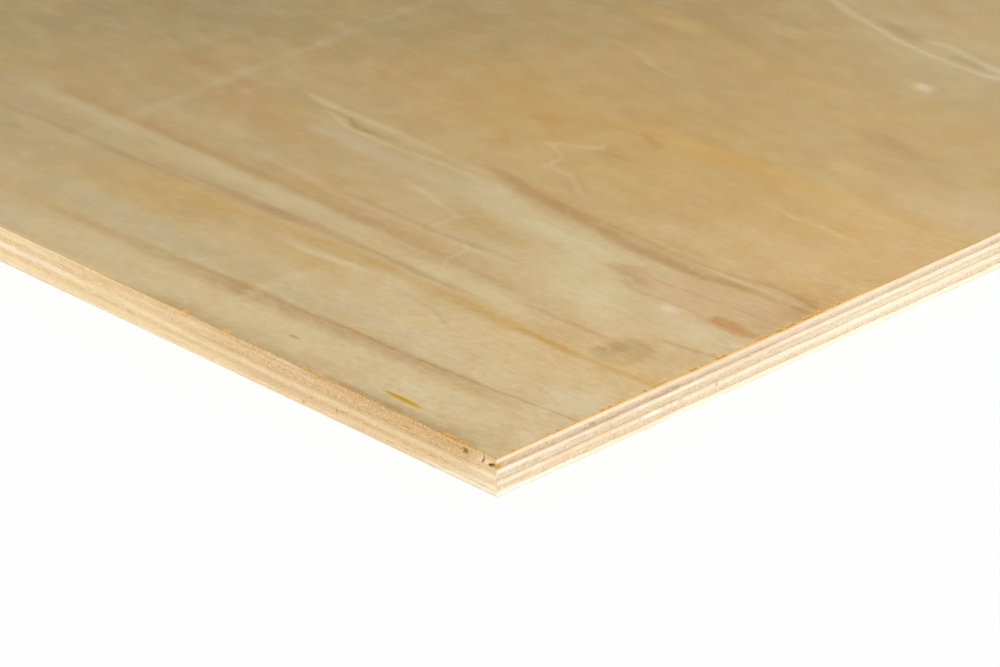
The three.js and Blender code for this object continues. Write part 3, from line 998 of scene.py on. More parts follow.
# Spots, given in the same way, are rounder and have a firmer edge.
SPOT_EDGE = (1.2, 0.6)
spots = [
    (32, 106, 13, 15, 12, 0.40, "#a88644"),
    (36, 107, 6, 3.6, 0, 0.36, "#8c6a2e"),
    (38, 99, 6, 5, 0, 0.22, "#94743a"),
    (31, 114, 8, 4, 0, 0.18, "#94763a"),
    (350, 175, 3.5, 2.5, 0, 0.30, "#d8a878"),
    (50, 136, 11, 8, 20, 0.12, "#b8a078"),
    (69, 57, 6, 4.5, 0, 0.12, "#a49a7c"),
    (129, 399.5, 8, 5, 0, 0.20, "#dccca4"),
    (129, 399.5, 4.5, 2.8, 0, 0.25, "#f0e2c6"),
    (140, 17, 3.4, 1.4, 0, 0.60, "#a07c2c"),
]

# Streaks of stain, and a darker band and a paler strip along the front arris. Each has its colour
# and its stations: the distance along it, the distance across, the half breadth and the strength.
# Streaks along the grain run with u and are crossed by v.
FIGURED = 500           # mm from the corner to the end of the streaks
CURVE_MARGIN = 4        # mm that a streak's curve goes on past its ends
streaks_along = [
    ("#a67e44", [(20, 37, 4.6, 0), (45, 37, 5.2, .2), (90, 38, 6.4, .5), (125, 35, 6.3, .5),
                 (140, 34.5, 5.8, .45), (160, 33, 6.3, .5), (180, 32.5, 5.8, .4), (188, 32, 6.3, .6),
                 (205, 31.5, 5.4, .6), (217, 31.5, 4.8, .4), (240, 31, 4.8, .35), (300, 30, 4, .3),
                 (335, 30, 4, 0)]),
    ("#9a6a2e", [(0, 46, 1.1, .38), (20, 44.5, 1, .36), (40, 42.6, 1, .42), (80, 40.3, 1.1, .5),
                 (110, 39, 1.2, .42), (135, 38, 1.4, .45), (160, 36.5, 1.5, .35), (205, 35, 1.9, .4),
                 (225, 34, 2, .22), (250, 33, 2.3, .15), (275, 31, 2.5, .15), (300, 30.5, 1.8, .1),
                 (345, 30, 1.7, 0)]),
    # A darker band on the face along the front arris.
    ("#6e5028", [(0, 0, 4, .05), (10, 0, 4, .12), (17, 0, 6, .36), (28, 0, 7, .36), (36, 0, 5, .4),
                 (55, 0, 4, .4), (65, 0, 4, .6), (76, 0, 4, .5), (100, 0, 4, .38), (108, 0, 4, .18),
                 (130, 0, 4, .18), (150, 0, 4, .22), (190, 0, 5, .26), (222, 0, 4, .14),
                 (236, 0, 4, 0)]),
    # A paler strip on the face along the front arris.
    ("#e6d4ac", [(232, 0, 1, 0), (256, 0, 1.1, .32), (300, 0, 1.1, .4), (360, 0, 1.1, 0)]),
    ("#b88a24", [(2, 92, 2.3, .25), (20, 90.5, 2.8, .4), (45, 89.5, 3, .55), (65, 89.8, 3, .7),
                 (90, 89.5, 4.6, .55), (110, 91, 5.2, .55), (135, 90.5, 5.6, .5), (150, 91, 5, .42),
                 (168, 91, 5.4, .48), (185, 88.5, 6, .45), (205, 88.5, 5.4, .45), (220, 88, 4.4, .3),
                 (240, 86, 5.4, .3), (257, 84.5, 6.6, .5), (280, 84, 7.5, .35), (310, 84, 6.9, .18),
                 (330, 83, 5.8, 0)]),
    ("#966a28", [(95, 98, 1.2, 0), (120, 98, 1.6, .22), (148, 97.8, 2.4, .42), (158, 98.2, 2.6, .45),
                 (170, 98, 2, .3), (190, 97.5, 2.8, .35), (215, 97, 3.8, .42), (240, 95.6, 4.4, .52),
                 (260, 95.2, 4.2, .44), (280, 94.8, 3.4, .33), (300, 94, 2.8, .22),
                 (345, 94, 2.6, 0)]),
    ("#966c30", [(262, 90, 1.5, 0), (300, 89.3, 2.2, .26), (340, 88.6, 2.6, .36), (360, 88.6, 2.3, .26),
                 (400, 87, 2.4, .3), (415, 86.5, 2.2, .2), (435, 86, 2, 0)]),
    ("#ac8444", [(55, 112, 6, 0), (90, 112, 7.8, .16), (130, 119, 9, .32), (150, 120, 10.2, .36),
                 (200, 122, 9.6, .4), (250, 123, 9.6, .44), (300, 122, 8.4, .4), (350, 121, 7.2, .32),
                 (400, 122, 7.2, .28), (460, 125, 7.2, 0)]),
    ("#a0763a", [(105, 114, 2.6, 0), (130, 115, 3.5, .22), (150, 116, 3.9, .19), (180, 117, 3.5, .22),
                 (205, 117.5, 3.5, .41), (225, 117.5, 3.1, .34), (250, 117.2, 3.1, .38),
                 (272, 117.5, 2.9, .45), (310, 117.5, 2.9, .34), (320, 118, 3.9, .45),
                 (345, 117.5, 3.5, .3), (380, 117.5, 3.5, .34), (400, 118, 5.2, .3), (430, 120, 5.2, .11),
                 (460, 122, 5.2, 0)]),
    ("#ab8250", [(35, 109, 1.7, 0), (45, 109, 1.9, .32), (60, 108.5, 1.9, .36), (80, 108, 1.6, .32),
                 (105, 107, 1.2, 0)]),
    ("#ab8250", [(145, 111, 2.2, 0), (160, 110, 2.9, .32), (180, 109.5, 2.9, .27), (200, 109, 2.4, 0)]),
    ("#a87c58", [(0, 129.5, 1.6, .38), (10, 127, 1.5, .34), (20, 125.5, 1.4, .3), (30, 124, 1.2, .12),
                 (38, 124, .8, 0)]),
    ("#9c7440", [(105, 136, 1.6, 0), (140, 134.5, 2, .22), (165, 132.5, 2.6, .38),
                 (190, 131.5, 2.4, .2), (215, 131.5, 2.4, .18), (240, 131.5, 2, 0)]),
    ("#dcbc98", [(130, 131, 2, 0), (180, 129, 2.8, .16), (210, 128, 3.2, .22), (230, 128, 3, .12),
                 (255, 130.5, 3.6, .24), (275, 131.5, 3, .12), (305, 131, 2, 0)]),
    ("#b47224", [(0, 155, 1.9, .42), (10, 153.5, 3.8, .56), (19, 154.5, 5, .8), (28, 154, 4.6, .72),
                 (32, 152, 1.9, .27), (38, 153.5, 1.4, .27), (46, 153.5, 2.2, .41), (52, 153, 1.4, .14),
                 (60, 152, 1.4, .27), (70, 151.5, 1.2, .23), (78, 151, 1, 0)]),
    ("#a98066", [(5, 168.5, 1, 0), (30, 168.5, 1.1, .35), (45, 167, 1, .25), (65, 165, 1.2, .35),
                 (78, 164, 1, 0)]),
    ("#a87c38", [(55, 185, 6, 0), (80, 186, 6.6, .16), (120, 187, 6.6, .28), (160, 189.5, 6.6, .36),
                 (185, 192, 6, .36), (210, 196, 3.6, 0)]),
    ("#9c6c2c", [(0, 187, 2.3, .23), (20, 186.5, 2.3, .27), (35, 185.5, 2.3, .39), (50, 183.5, 3.2, .51),
                 (62, 180.8, 3.6, .5), (80, 181, 4.3, .64), (100, 181, 4.3, .58), (120, 183.5, 4, .44),
                 (145, 186.5, 4, .38), (160, 188.5, 3.8, .34), (175, 190, 3.8, .34),
                 (186, 193, 4, .34), (196, 195, 4, .3), (204, 196.5, 2.9, .16), (212, 197.5, 2.3, 0)]),
    ("#946830", [(2, 192.5, 1.4, .21), (15, 194.5, 1.5, .42), (28, 194.8, 1.4, .35), (40, 193.5, 1.4, .21),
                 (50, 191.5, 1.4, .32), (60, 190.5, 1.4, .14), (80, 189, 1.3, .21), (110, 189.8, 1.4, .17),
                 (150, 190, 1.8, .24), (165, 191, 1.3, 0)]),
    ("#e6c8a8", [(0, 190, 1.4, .2), (30, 189.5, 1.8, .25), (60, 188, 1.5, .3), (72, 188, 1.2, .1),
                 (85, 188, 1, 0)]),
    ("#c79438", [(62, 197, 1.5, 0), (85, 195.7, 2.2, .35), (100, 194.8, 2.2, .35),
                 (140, 194, 1.7, .25), (170, 196, 2, .2), (205, 198, 2, 0)]),
    ("#cfc096", [(192, 191, 1.9, 0), (215, 190, 2.4, .2), (240, 190.5, 2.8, .26),
                 (270, 191.8, 3, .36), (300, 191.8, 2.7, .4), (320, 192.8, 2.4, .32),
                 (328, 194, 1.9, .18), (338, 195, 1.4, 0)]),
    ("#cfc096", [(192, 182, 1.9, 0), (215, 182.5, 2, .32), (235, 182, 2, .28), (255, 180, 1.8, .24),
                 (285, 181, 2.2, .32), (298, 184, 2.4, .24), (307, 186, 1.8, 0)]),
    ("#94702c", [(248, 185, 1.4, 0), (270, 184.6, 2, .45), (280, 183.5, 2.4, .7), (287, 185, 2.2, .7),
                 (293, 187.3, 1.4, .3), (298, 188.5, 1, 0)]),
    ("#dcc79a", [(176, 148, 1.8, 0), (184, 150, 1.8, .2), (195, 152.5, 1.8, .2), (205, 155.5, 2, .27),
                 (222, 157.5, 1.8, .16), (230, 158, 1.8, 0)]),
    ("#dcc79a", [(150, 203, 1.8, 0), (160, 206, 2, .17), (167, 209.5, 2, .2), (173, 213, 2, .2),
                 (180, 214.5, 2, .22), (187, 215.5, 2.1, .28), (192, 218, 1.8, 0)]),
    ("#a08a62", [(90, 68, 1, 0), (105, 71, 1.3, .24), (115, 75, 1.3, .28), (130, 77.5, 1.3, .21),
                 (150, 80, 1.3, 0)]),
    ("#e0c89c", [(20, 252, 1.4, 0), (40, 252.5, 1.6, .1), (56, 254, 1.8, .3), (64, 254, 1.4, .16),
                 (70, 252.5, 1.7, .24), (80, 254, 1.6, .18), (90, 255, 1.4, 0)]),
    ("#cf9f42", [(0, 284, 4, 0), (20, 285, 4, .08), (50, 286, 4, .2), (80, 284, 5, .3), (100, 282, 6, .3),
                 (130, 280, 6, .3), (160, 279, 6, .3), (180, 281, 5, .2), (205, 284, 4, 0)]),
    ("#d0c09a", [(100, 436, 3.9, .4), (112, 433, 2.9, .5), (120, 429.5, 2.2, .44), (150, 430, 2.3, .44),
                 (175, 433, 2.4, .48), (200, 438, 2.5, .42), (210, 440, 4.2, .4), (220, 443.5, 3.6, .4),
                 (230, 447, 2.3, .36), (250, 452, 1.6, 0)]),
    ("#d0c09a", [(108, 438, 2.6, .25), (125, 439.5, 2.4, .42), (140, 441.5, 2.4, .42), (150, 443, 2.9, .34),
                 (160, 442.5, 2.3, .4), (172, 441, 1.7, 0)]),
    ("#8c7854", [(112, 433.5, 1.6, 0), (124, 434.5, 2.6, .34), (140, 436, 2.6, .3), (150, 438, 2, .06),
                 (164, 440, 2.4, .1), (175, 442, 3, .28), (190, 444, 2.6, .2), (204, 446, 2, 0)]),
    ("#c4b088", [(219, 327, 1.6, 0), (226, 327.5, 2, .26), (236, 329.5, 2.6, .3), (244, 332.5, 2.8, .24),
                 (252, 336, 1.8, 0)]),
]
# Marks across the grain run with v: two faint bands where the sheets were pressed on their
# stickers, and the steep ends of three growth lines.
marks_across = [
    ("#c6b38c", [(0, 361, 4, .1), (18, 362, 5, .16), (34, 363, 4.6, .1), (52, 364, 5, .16),
                 (72, 364, 4.4, .08), (92, 364.5, 4.6, .14), (112, 365, 4.4, .1), (136, 365, 5, .2),
                 (160, 365.5, 4.4, .14), (180, 366, 4.8, .28), (206, 366, 4.4, .14), (238, 366.5, 5, .24),
                 (264, 366.5, 4.4, .1), (290, 367, 4.8, .16), (335, 367, 4, 0)]),
    ("#d6c8a0", [(0, 185, 4, .1), (20, 185, 4, .2), (45, 185, 4, .25), (60, 185, 4, .15),
                 (75, 185, 5, 0)]),
    ("#dcc79a", [(211, 188, 1.7, 0), (216, 191.5, 1.9, .25), (223, 192, 1.9, .2), (228, 195, 2.4, .22),
                 (233, 205, 3.9, .2), (238, 199, 4.6, .16), (242, 190, 3.2, .26), (247, 187.5, 2.3, .2),
                 (251, 190, 1.7, 0)]),
    ("#dcc79a", [(133, 181, 1.7, 0), (139, 178.5, 2, .2), (145, 179, 2, .2), (150, 182, 1.7, 0)]),
    ("#e0c8a4", [(106, 144, 1.7, 0), (110, 147, 1.9, .2), (118, 152, 1.9, .2), (125, 151, 1.9, .22),
                 (130, 154, 2.6, .22), (134, 159, 1.7, 0)]),
]
# A drop of yellow gum, drawn out along the grain, and its darker core, given as the patches are.
GUM_EDGE = (1.2, 0.7)
gum = [(65.5, 9.5, 12, 1.5, 1.5, 1.0, "#c89a00")]
GUM_CORE_EDGE = (1.3, 0.3)
gum_core = [(66.5, 9.7, 9, 0.6, 1.5, 0.6, "#a67200")]

# The marks are sorted into tiles, so that a point on the face works through those of its own tile
# only. The tiles are given by where they start, in millimetres from the corner.
TILES_ALONG = (-1, 130, 300)
TILES_ACROSS = (-1, 30, 64, 104, 140, 176, 215, 260, 320)
# The millimetres that wandering and fraying move a mark, at most, along and across the grain.
PATCH_REACH = (22, 12)
STREAK_REACH = (6, 6)
# Nodes that are alike in two tiles are merged by the renderer and worked out for both, so each tile
# has its marks this much further along than the tile before, in millimetres, which doesn't show.
TILE_SHIFT = 0.001


def spindle(tree, place, mark):
    """The distance from a mark's middle, as a share of its half length and half breadth."""
    u, v, half_length, half_breadth, turn = mark
    if turn != 0:
        lean = math.radians(turn)
        off_middle = add_node(tree, "ShaderNodeVectorMath", {
            0: place, 1: (u, v, 0),
        }, operation="SUBTRACT").outputs[0]
        sideways = add_node(tree, "ShaderNodeVectorMath", {
            0: off_middle, 1: (0, 0, math.sin(lean)),
        }, operation="CROSS_PRODUCT").outputs[0]
        place = add_node(tree, "ShaderNodeVectorMath", {
            0: off_middle, 1: (math.cos(lean), math.cos(lean), 0), 2: sideways,
        }, operation="MULTIPLY_ADD").outputs[0]
        u, v = 0, 0
    share = add_node(tree, "ShaderNodeVectorMath", {
        0: place, 1: (1 / half_length, 1 / half_breadth, 0), 2: (-u / half_length, -v / half_breadth, 0),
    }, operation="MULTIPLY_ADD").outputs[0]
    return add_node(tree, "ShaderNodeVectorMath", {0: share}, operation="LENGTH").outputs["Value"]


def streak(tree, run, cross, stops):
    """The distance from a streak's path, as a share of its half breadth, and its strength, from a
    curve through its stations."""
    shape = add_node(tree, "ShaderNodeVectorCurve", {"Vector": run})
    for axis, whole in enumerate((FIGURED, FIGURED, 1)):
        points = shape.mapping.curves[axis].points
        marks = [(stop[0] / FIGURED, stop[axis + 1] / whole) for stop in stops]
        points[0].location = marks[0]
        points[-1].location = marks[-1]
        for mark in marks[1:-1]:
            points.new(*mark)
        for point in points:
            point.handle_type = "AUTO_CLAMPED"
    shape.mapping.extend = "HORIZONTAL"
    shape.mapping.clip_min_x = (stops[0][0] - CURVE_MARGIN) / FIGURED
    shape.mapping.clip_max_x = (stops[-1][0] + CURVE_MARGIN) / FIGURED
    shape.mapping.update()
    path, half_breadth, strength = (
        add_node(tree, "ShaderNodeVectorMath", {
            0: shape.outputs["Vector"], 1: axis,
        }, operation="DOT_PRODUCT").outputs["Value"]
        for axis in ((1, 0, 0), (0, 1, 0), (0, 0, 1))
    )
    off_path = add_node(tree, "ShaderNodeMath", {
        0: cross, 1: path,
    }, operation="SUBTRACT").outputs[0]
    share = add_node(tree, "ShaderNodeMath", {
        0: off_path, 1: half_breadth,
    }, operation="DIVIDE").outputs[0]
    distance = add_node(tree, "ShaderNodeMath", {0: share}, operation="ABSOLUTE").outputs[0]
    return distance, strength


def meets(middle, half, reach, tile):
    """Whether a mark with that middle and half extent, moved by its reach, gets into a tile."""
    return all(
        start - half_extent - most < place < end + half_extent + most
        for place, half_extent, most, (start, end) in zip(middle, half, reach, tile)
    )


def spindle_layers(tree, place, reach, edge, marks, tile, shift):
    """The spindle-shaped marks that get into a tile, as layers of stain."""
    for u, v, half_length, half_breadth, turn, strength, stain in marks:
        lean = math.radians(turn)
        half = (
            edge[0] * math.hypot(half_length * math.cos(lean), half_breadth * math.sin(lean)),
            edge[0] * math.hypot(half_length * math.sin(lean), half_breadth * math.cos(lean)),
        )
        if meets((u, v), half, reach, tile):
            mark = (u + shift, v, half_length, half_breadth, turn)
            yield (spindle(tree, place, mark), *edge, strength, stain, None)


def streak_layers(tree, run, cross, marks, tile, shift):
    """The streaks that get into a tile, as layers of stain. One that is strong where it starts comes
    from beyond the tiles."""
    for stain, stops in marks:
        at, middle, half_breadth, strength = np.transpose(stops)
        first = at[0] if strength[0] == 0 else -FIGURED
        lowest = min(middle - PATCH_EDGE[0] * half_breadth)
        highest = max(middle + PATCH_EDGE[0] * half_breadth)
        centre = ((first + at[-1]) / 2, (lowest + highest) / 2)
        half = ((at[-1] - first) / 2, (highest - lowest) / 2)
        if meets(centre, half, STREAK_REACH, tile):
            moved = [(place + shift, *values) for place, *values in stops]
            distance, strength = streak(tree, run, cross, moved)
            yield (distance, *PATCH_EDGE, strength, stain, None)


u_share, v_share = (
    add_node(tree, "ShaderNodeVectorMath", {
        0: streak_place, 1: axis,
    }, operation="DOT_PRODUCT").outputs["Value"]
    for axis in ((1 / FIGURED, 0, 0), (0, 1 / FIGURED, 0))
)
along, across = add_node(tree, "ShaderNodeSeparateXYZ", {0: plan}).outputs[:2]
sawn_edge, torn = (
    add_node(tree, "ShaderNodeAttribute", attribute_name=key).outputs["Fac"]
    for key in ("sawn_edge", "amber")
)
# The pores of the torn wood, drawn about as coarse as those of the core.
pores = mapped(tree, plan, (0.8, 0.8, 0.8), 2).outputs["Fac"]
relief = add_node(tree, "ShaderNodeBump", {
    "Height": fibre, "Strength": 0.25, "Distance": 0.05 * MM,
}).outputs["Normal"]
# What each tile takes from the whole face, with the kind of its socket.
whole_face = {
    "Ground": ("Color", ground), "Plan": ("Vector", plan), "Patch Place": ("Vector", patch_place),
    "Streak Place": ("Vector", streak_place), "Along": ("Float", u_share),
    "Across": ("Float", v_share), "Mottles": ("Float", mottles), "Blush": ("Float", blush),
    "Flecks": ("Float", flecks), "Specks": ("Float", specks), "Fibre": ("Float", fibre),
    "Pores": ("Float", pores), "Near Corner": ("Float", near_corner_share),
    "Sawn Edge": ("Float", sawn_edge), "Torn": ("Float", torn),
}


def face_tile(along_tile, across_tile, shift):
    """The surface of one tile of the face. Its colour comes from a node group of its own: the marks
    that get into it, the fine marks of the whole face, and the sawn and torn wood at its edge."""
    group = bpy.data.node_groups.new(f"face tile {along_tile[0]} {across_tile[0]}", "ShaderNodeTree")
    for key, (kind, source) in whole_face.items():
        group.interface.new_socket(key, in_out="INPUT", socket_type=f"NodeSocket{kind}")
    group.interface.new_socket("Wood", in_out="OUTPUT", socket_type="NodeSocketColor")
    given = add_node(group, "NodeGroupInput").outputs
    tile = (along_tile, across_tile)
    near_corner = given["Near Corner"]
    marks = chain(
        spindle_layers(
            group, given["Patch Place"], PATCH_REACH, PATCH_EDGE, tones + patches, tile, shift,
        ),
        spindle_layers(group, given["Streak Place"], STREAK_REACH, SPOT_EDGE, spots, tile, shift),
        streak_layers(group, given["Along"], given["Across"], streaks_along, tile, shift),
        streak_layers(group, given["Across"], given["Along"], marks_across, tile[::-1], shift),
    )
    fine_marks = [
        (given["Mottles"], 0.3, 0.7, 0.12, "#bd9444", None),
        (given["Blush"], 0.34, 0.7, 0.07, "#a98864", None),
        (given["Blush"], 0.62, 0.3, 0.07, "#e0d4a8", None),
        (given["Flecks"], 0.5, 0.72, 0.16, "#c09440", near_corner),
        (given["Flecks"], 0.5, 0.28, 0.16, "#cdbfa2", near_corner),
        (given["Specks"], 0.5, 0.75, 0.16, "#96703c", near_corner),
        (given["Specks"], 0.5, 0.25, 0.16, "#ecdcb8", near_corner),
        (given["Fibre"], 0.5, 0.75, 0.1, "#8c6c44", near_corner),
        (given["Fibre"], 0.48, 0.25, 0.11, "#f2e6ca", near_corner),
    ]
    gum_drop = chain(
        spindle_layers(group, given["Plan"], (0, 0), GUM_EDGE, gum, tile, shift),
        spindle_layers(group, given["Plan"], (0, 0), GUM_CORE_EDGE, gum_core, tile, shift),
    )
    sawn_and_torn = [
        (given["Sawn Edge"], 0.0, 1.0, 0.85, "#bf9650", None),
        (given["Torn"], 0.02, 0.6, 0.95, "#e6b650", None),
        (given["Pores"], 0.44, 0.62, 0.75, "#bc7810", given["Torn"]),
    ]
    # The renderer works through the nodes in the order in which they were made, and it can hold only
    # some 80 vectors. So each mark's nodes are made as its stain is laid on, and nothing within a
    # mark needs a conversion or a clamp, because those are worked out last.
    wood = stained(group, given["Ground"], chain(marks, fine_marks, gum_drop, sawn_and_torn))
    add_node(group, "NodeGroupOutput", {"Wood": wood})
    tile_wood = add_node(tree, "ShaderNodeGroup", {
        key: source for key, (kind, source) in whole_face.items()
    }, node_tree=group).outputs["Wood"]
    return add_node(tree, "ShaderNodeBsdfPrincipled", {
        "Base Color": tile_wood, "Roughness": 0.55, "Specular IOR Level": 0.3, "Normal": relief,
    }).outputs["BSDF"]


def joined(surfaces, distance, starts):
    """One surface that changes to the next of these at each start."""
    surface = surfaces[0]
    for next_surface, start in zip(surfaces[1:], starts[1:]):
        past_start = add_node(tree, "ShaderNodeMath", {
            0: distance, 1: start,
        }, operation="GREATER_THAN").outputs[0]
        surface = add_node(tree, "ShaderNodeMixShader", {
            0: past_start, 1: surface, 2: next_surface,
        }).outputs[0]
    return surface


far = length / MM
rows = []
for across_tile in zip(TILES_ACROSS, (*TILES_ACROSS[1:], far)):
    row = [
        face_tile(along_tile, across_tile, TILE_SHIFT * (len(TILES_ALONG) * len(rows) + k))
        for k, along_tile in enumerate(zip(TILES_ALONG, (*TILES_ALONG[1:], far)))
    ]
    rows.append(joined(row, along, TILES_ALONG))
surface = joined(rows, across, TILES_ACROSS)
add_node(tree, "ShaderNodeOutputMaterial", {"Surface": surface})
face_veneer.data.materials.append(sanded_face)
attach(face_veneer, "root")
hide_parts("face_veneer")


# ---- Torn fibres ---------------------------------------------------------------------------------
# Slivers of the face veneer that the saw broke but did not cut away. They lie in the chips of the
# right and front arrises, each rooted in the veneer, and are as amber as the torn wood.

FIBRE_SPACING = 0.06 * MM       # between roots along the arris, where every fibre grows
FIBRE_RADIUS = 0.09 * MM        # of a splinter of several fibres, where it is rooted
FIBRE_SHORTEST = 0.4            # share of the reach of the longest
FIBRE_TIP = 0.15                # share of its thickness that a fibre has at its tip
FIBRE_ROOT = 0.35               # mm that a root lies inside the torn wood
ROOT_HEIGHT = 0.4 * MM          # of the roots, above the glued side of the veneer

# Splinters of bare poplar, raw amber to straw, and dull.
torn_poplar, tree = new_material("torn poplar fibres")
shade = add_node(tree, "ShaderNodeAttribute", attribute_name="shade").outputs["Fac"]
wood = add_node(tree, "ShaderNodeMix", {
    "Factor": shade, "A": colour("#c27812"), "B": colour("#f0d08c"),
}, data_type="RGBA").outputs[2]
surface = add_node(tree, "ShaderNodeBsdfPrincipled", {
    "Base Color": wood, "Roughness": 0.8, "Specular IOR Level": 0.2,
})
add_node(tree, "ShaderNodeOutputMaterial", {"Surface": surface.outputs["BSDF"]})

# Along a guide that follows the arris, a fibre grows where a random number is below how torn the
# wood is there. Each is a thin tapered splinter, scattered round the side's heading, and at most as
# long as the guide's reach.
fibre_maker = bpy.data.node_groups.new("torn fibres", "GeometryNodeTree")
for name, kind, in_out in (
    ("Guide", "Geometry", "INPUT"), ("Spacing", "Float", "INPUT"), ("Radius", "Float", "INPUT"),
    ("Heading", "Vector", "INPUT"), ("Scatter", "Vector", "INPUT"), ("Seed", "Int", "INPUT"),
    ("Material", "Material", "INPUT"), ("Fibres", "Geometry", "OUTPUT"),
):
    fibre_maker.interface.new_socket(name, in_out=in_out, socket_type=f"NodeSocket{kind}")
given = add_node(fibre_maker, "NodeGroupInput").outputs
line = add_node(fibre_maker, "GeometryNodeMeshToCurve", {"Mesh": given["Guide"]}).outputs["Curve"]
roots = add_node(fibre_maker, "GeometryNodeCurveToPoints", {
    "Curve": line, "Length": given["Spacing"],
}, mode="LENGTH").outputs["Points"]
torn, reach = (
    add_node(fibre_maker, "GeometryNodeInputNamedAttribute", {
        "Name": key,
    }, data_type="FLOAT").outputs["Attribute"]
    for key in ("torn", "reach")
)
chance, length_share, shade = (
    add_node(fibre_maker, "FunctionNodeRandomValue", {
        2: least, 3: most, "ID": add_node(fibre_maker, "GeometryNodeInputIndex").outputs["Index"],
        "Seed": add_node(fibre_maker, "FunctionNodeIntegerMath", {
            0: given["Seed"], 1: offset,
        }, operation="ADD").outputs[0],
    }, data_type="FLOAT").outputs[1]
    for least, most, offset in ((0.0, 1.0, 0), (FIBRE_SHORTEST, 1.0, 1), (0.0, 1.0, 2))
)
grows = add_node(fibre_maker, "FunctionNodeCompare", {
    0: chance, 1: torn,
}, data_type="FLOAT", operation="LESS_THAN").outputs["Result"]
turned_back = add_node(fibre_maker, "ShaderNodeVectorMath", {
    0: given["Scatter"], "Scale": -1.0,
}, operation="SCALE").outputs[0]
stray = add_node(fibre_maker, "FunctionNodeRandomValue", {
    0: turned_back, 1: given["Scatter"], "Seed": given["Seed"],
}, data_type="FLOAT_VECTOR").outputs[0]
direction = add_node(fibre_maker, "ShaderNodeVectorMath", {
    0: given["Heading"], 1: stray,
}, operation="ADD").outputs[0]
rotation = add_node(fibre_maker, "FunctionNodeAlignRotationToVector", {
    "Vector": direction,
}, axis="Z").outputs["Rotation"]
fibre_length = add_node(fibre_maker, "ShaderNodeMath", {
    0: reach, 1: length_share,
}, operation="MULTIPLY").outputs[0]
size = add_node(fibre_maker, "ShaderNodeCombineXYZ", {
    "X": given["Radius"], "Y": given["Radius"], "Z": fibre_length,
}).outputs["Vector"]
splinter = add_node(fibre_maker, "GeometryNodeMeshCone", {
    "Vertices": 5, "Radius Top": FIBRE_TIP, "Radius Bottom": 1.0, "Depth": 1.0,
}, fill_type="NGON").outputs["Mesh"]
fibres = add_node(fibre_maker, "GeometryNodeInstanceOnPoints", {
    "Points": roots, "Selection": grows, "Instance": splinter, "Rotation": rotation, "Scale": size,
}).outputs["Instances"]
shaded = add_node(fibre_maker, "GeometryNodeStoreNamedAttribute", {
    "Geometry": fibres, "Name": "shade", "Value": shade,
}, data_type="FLOAT", domain="INSTANCE").outputs["Geometry"]
realized = add_node(fibre_maker, "GeometryNodeRealizeInstances", {
    "Geometry": shaded,
}).outputs["Geometry"]
finished = add_node(fibre_maker, "GeometryNodeSetMaterial", {
    "Geometry": realized, "Material": given["Material"],
}).outputs["Geometry"]
add_node(fibre_maker, "NodeGroupOutput", {"Fibres": finished})
identifiers = {item.name: item.identifier for item in fibre_maker.interface.items_tree}

# On the right side the fibres point out of the sheet along the grain. On the front side they lie
# at a slant to the edge, so they may be longer for the same chip.
for side_name, heading, scatter, lengthened, seed in (
    ("right", (1, 0, -0.05), (0.2, 0.5, 0.15), 1, 11),
    ("front", (0.9, -0.3, -0.02), (0.15, 0.1, 0.05), 2, 12),
):
    here = np.flatnonzero(columns["side"] == side_name)
    guide_line = ring(columns, recess + FIBRE_ROOT, low.z + ROOT_HEIGHT)[here]
    chain = np.column_stack((np.arange(len(here) - 1), np.arange(1, len(here))))
    reach = (recess + FIBRE_ROOT) * lengthened * MM
    guide = mesh_object("guide", guide_line.tolist(), chain.tolist(), [], {
        "torn": amber[here], "reach": reach[here],
    })
    maker = guide.modifiers.new("torn fibres", "NODES")
    maker.node_group = fibre_maker
    for name, value in (
        ("Spacing", FIBRE_SPACING), ("Radius", FIBRE_RADIUS), ("Heading", heading),
        ("Scatter", scatter), ("Seed", seed), ("Material", torn_poplar),
    ):
        maker[identifiers[name]] = value
    evaluated = guide.evaluated_get(bpy.context.evaluated_depsgraph_get())
    fibre_mesh = bpy.data.meshes.new_from_object(evaluated)
    bpy.data.objects.remove(guide)
    fibre_mesh.materials.pop(index=0)      # the empty slot that the cone came with
    torn_fibres = bpy.data.objects.new(f"torn_fibres_{side_name}", fibre_mesh)
    bpy.context.scene.collection.objects.link(torn_fibres)
    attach(torn_fibres, "root")


# ---- Studio --------------------------------------------------------------------------------------
# A plain white floor and an even white surround, under one wide, soft sun from in front and to the
# right of the corner.

FLOOR_SIZE = 40                 # metres
FLOOR_DROP = 0.1 * MM           # that the floor lies below the sheet, so that their faces don't meet
FLOOR_GLOW = 0.93               # the share of plain white in the floor as the camera sees it
half = FLOOR_SIZE / 2
floor = mesh_object("studio_floor", [
    (-half, -half, -FLOOR_DROP), (half, -half, -FLOOR_DROP),
    (half, half, -FLOOR_DROP), (-half, half, -FLOOR_DROP),
], [], [(0, 1, 2, 3)], {})

# Matt white paint, which shows the sheet's shadow and nothing else.
floor_paint, tree = new_material("matt white floor")


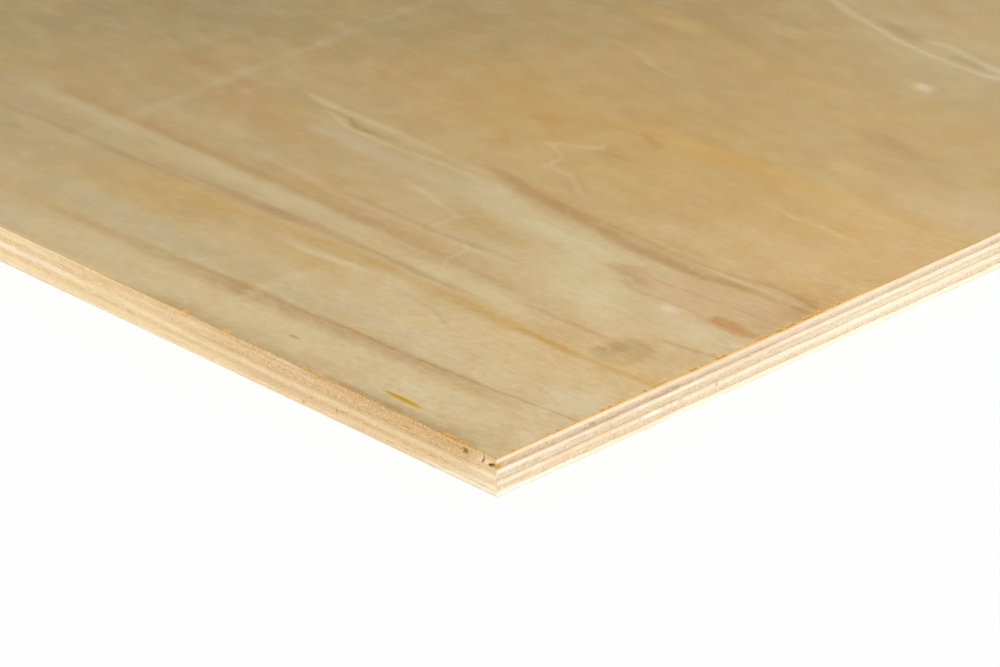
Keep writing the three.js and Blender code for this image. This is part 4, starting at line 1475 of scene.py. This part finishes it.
def seen_directly(tree):
    """1 where the ray comes straight from the camera, by a reflection or through glass, else 0."""
    ray = add_node(tree, "ShaderNodeLightPath").outputs
    either = add_node(tree, "ShaderNodeMath", {
        0: ray["Is Camera Ray"], 1: ray["Is Glossy Ray"],
    }, operation="MAXIMUM").outputs[0]
    return add_node(tree, "ShaderNodeMath", {
        0: either, 1: ray["Is Transmission Ray"],
    }, operation="MAXIMUM").outputs[0]


seen = seen_directly(tree)
seen_share = add_node(tree, "ShaderNodeMath", {0: seen, 1: FLOOR_GLOW}, operation="MULTIPLY")
paint = add_node(tree, "ShaderNodeBsdfDiffuse", {"Color": colour("#ededed")})
white = add_node(tree, "ShaderNodeEmission", {"Color": colour("#ffffff"), "Strength": 1.0})
both = add_node(tree, "ShaderNodeMixShader", {
    0: seen_share.outputs[0], 1: paint.outputs["BSDF"], 2: white.outputs["Emission"],
})
add_node(tree, "ShaderNodeOutputMaterial", {"Surface": both.outputs["Shader"]})
floor.data.materials.append(floor_paint)

SURROUND_STRENGTH = 0.6         # of its light on the sheet; the camera sees it at 1, as white
world = bpy.data.worlds.new("white surround")
bpy.context.scene.world = world
world.use_nodes = True
tree = world.node_tree
tree.nodes.clear()
seen = seen_directly(tree)
strength = add_node(tree, "ShaderNodeMapRange", {
    "Value": seen, "To Min": SURROUND_STRENGTH, "To Max": 1.0,
}).outputs["Result"]
background = add_node(tree, "ShaderNodeBackground", {
    "Color": colour("#ffffff"), "Strength": strength,
})
add_node(tree, "ShaderNodeOutputWorld", {"Surface": background.outputs["Background"]})

SUN_STRENGTH = 2.2
SUN_ANGLE = math.radians(40)        # a wide, soft source
SUN_TURN = math.radians(-37.5)      # from +X, towards the front
SUN_RISE = math.radians(35)
sun_way = Vector((
    math.cos(SUN_RISE) * math.cos(SUN_TURN),
    math.cos(SUN_RISE) * math.sin(SUN_TURN),
    math.sin(SUN_RISE),
))
sun = bpy.data.objects.new("soft_sun", bpy.data.lights.new("soft_sun", "SUN"))
sun.data.energy = SUN_STRENGTH
sun.data.angle = SUN_ANGLE
sun.rotation_euler = sun_way.to_track_quat("Z", "Y").to_euler()
bpy.context.scene.collection.objects.link(sun)

bpy.context.scene.view_settings.view_transform = "Standard"
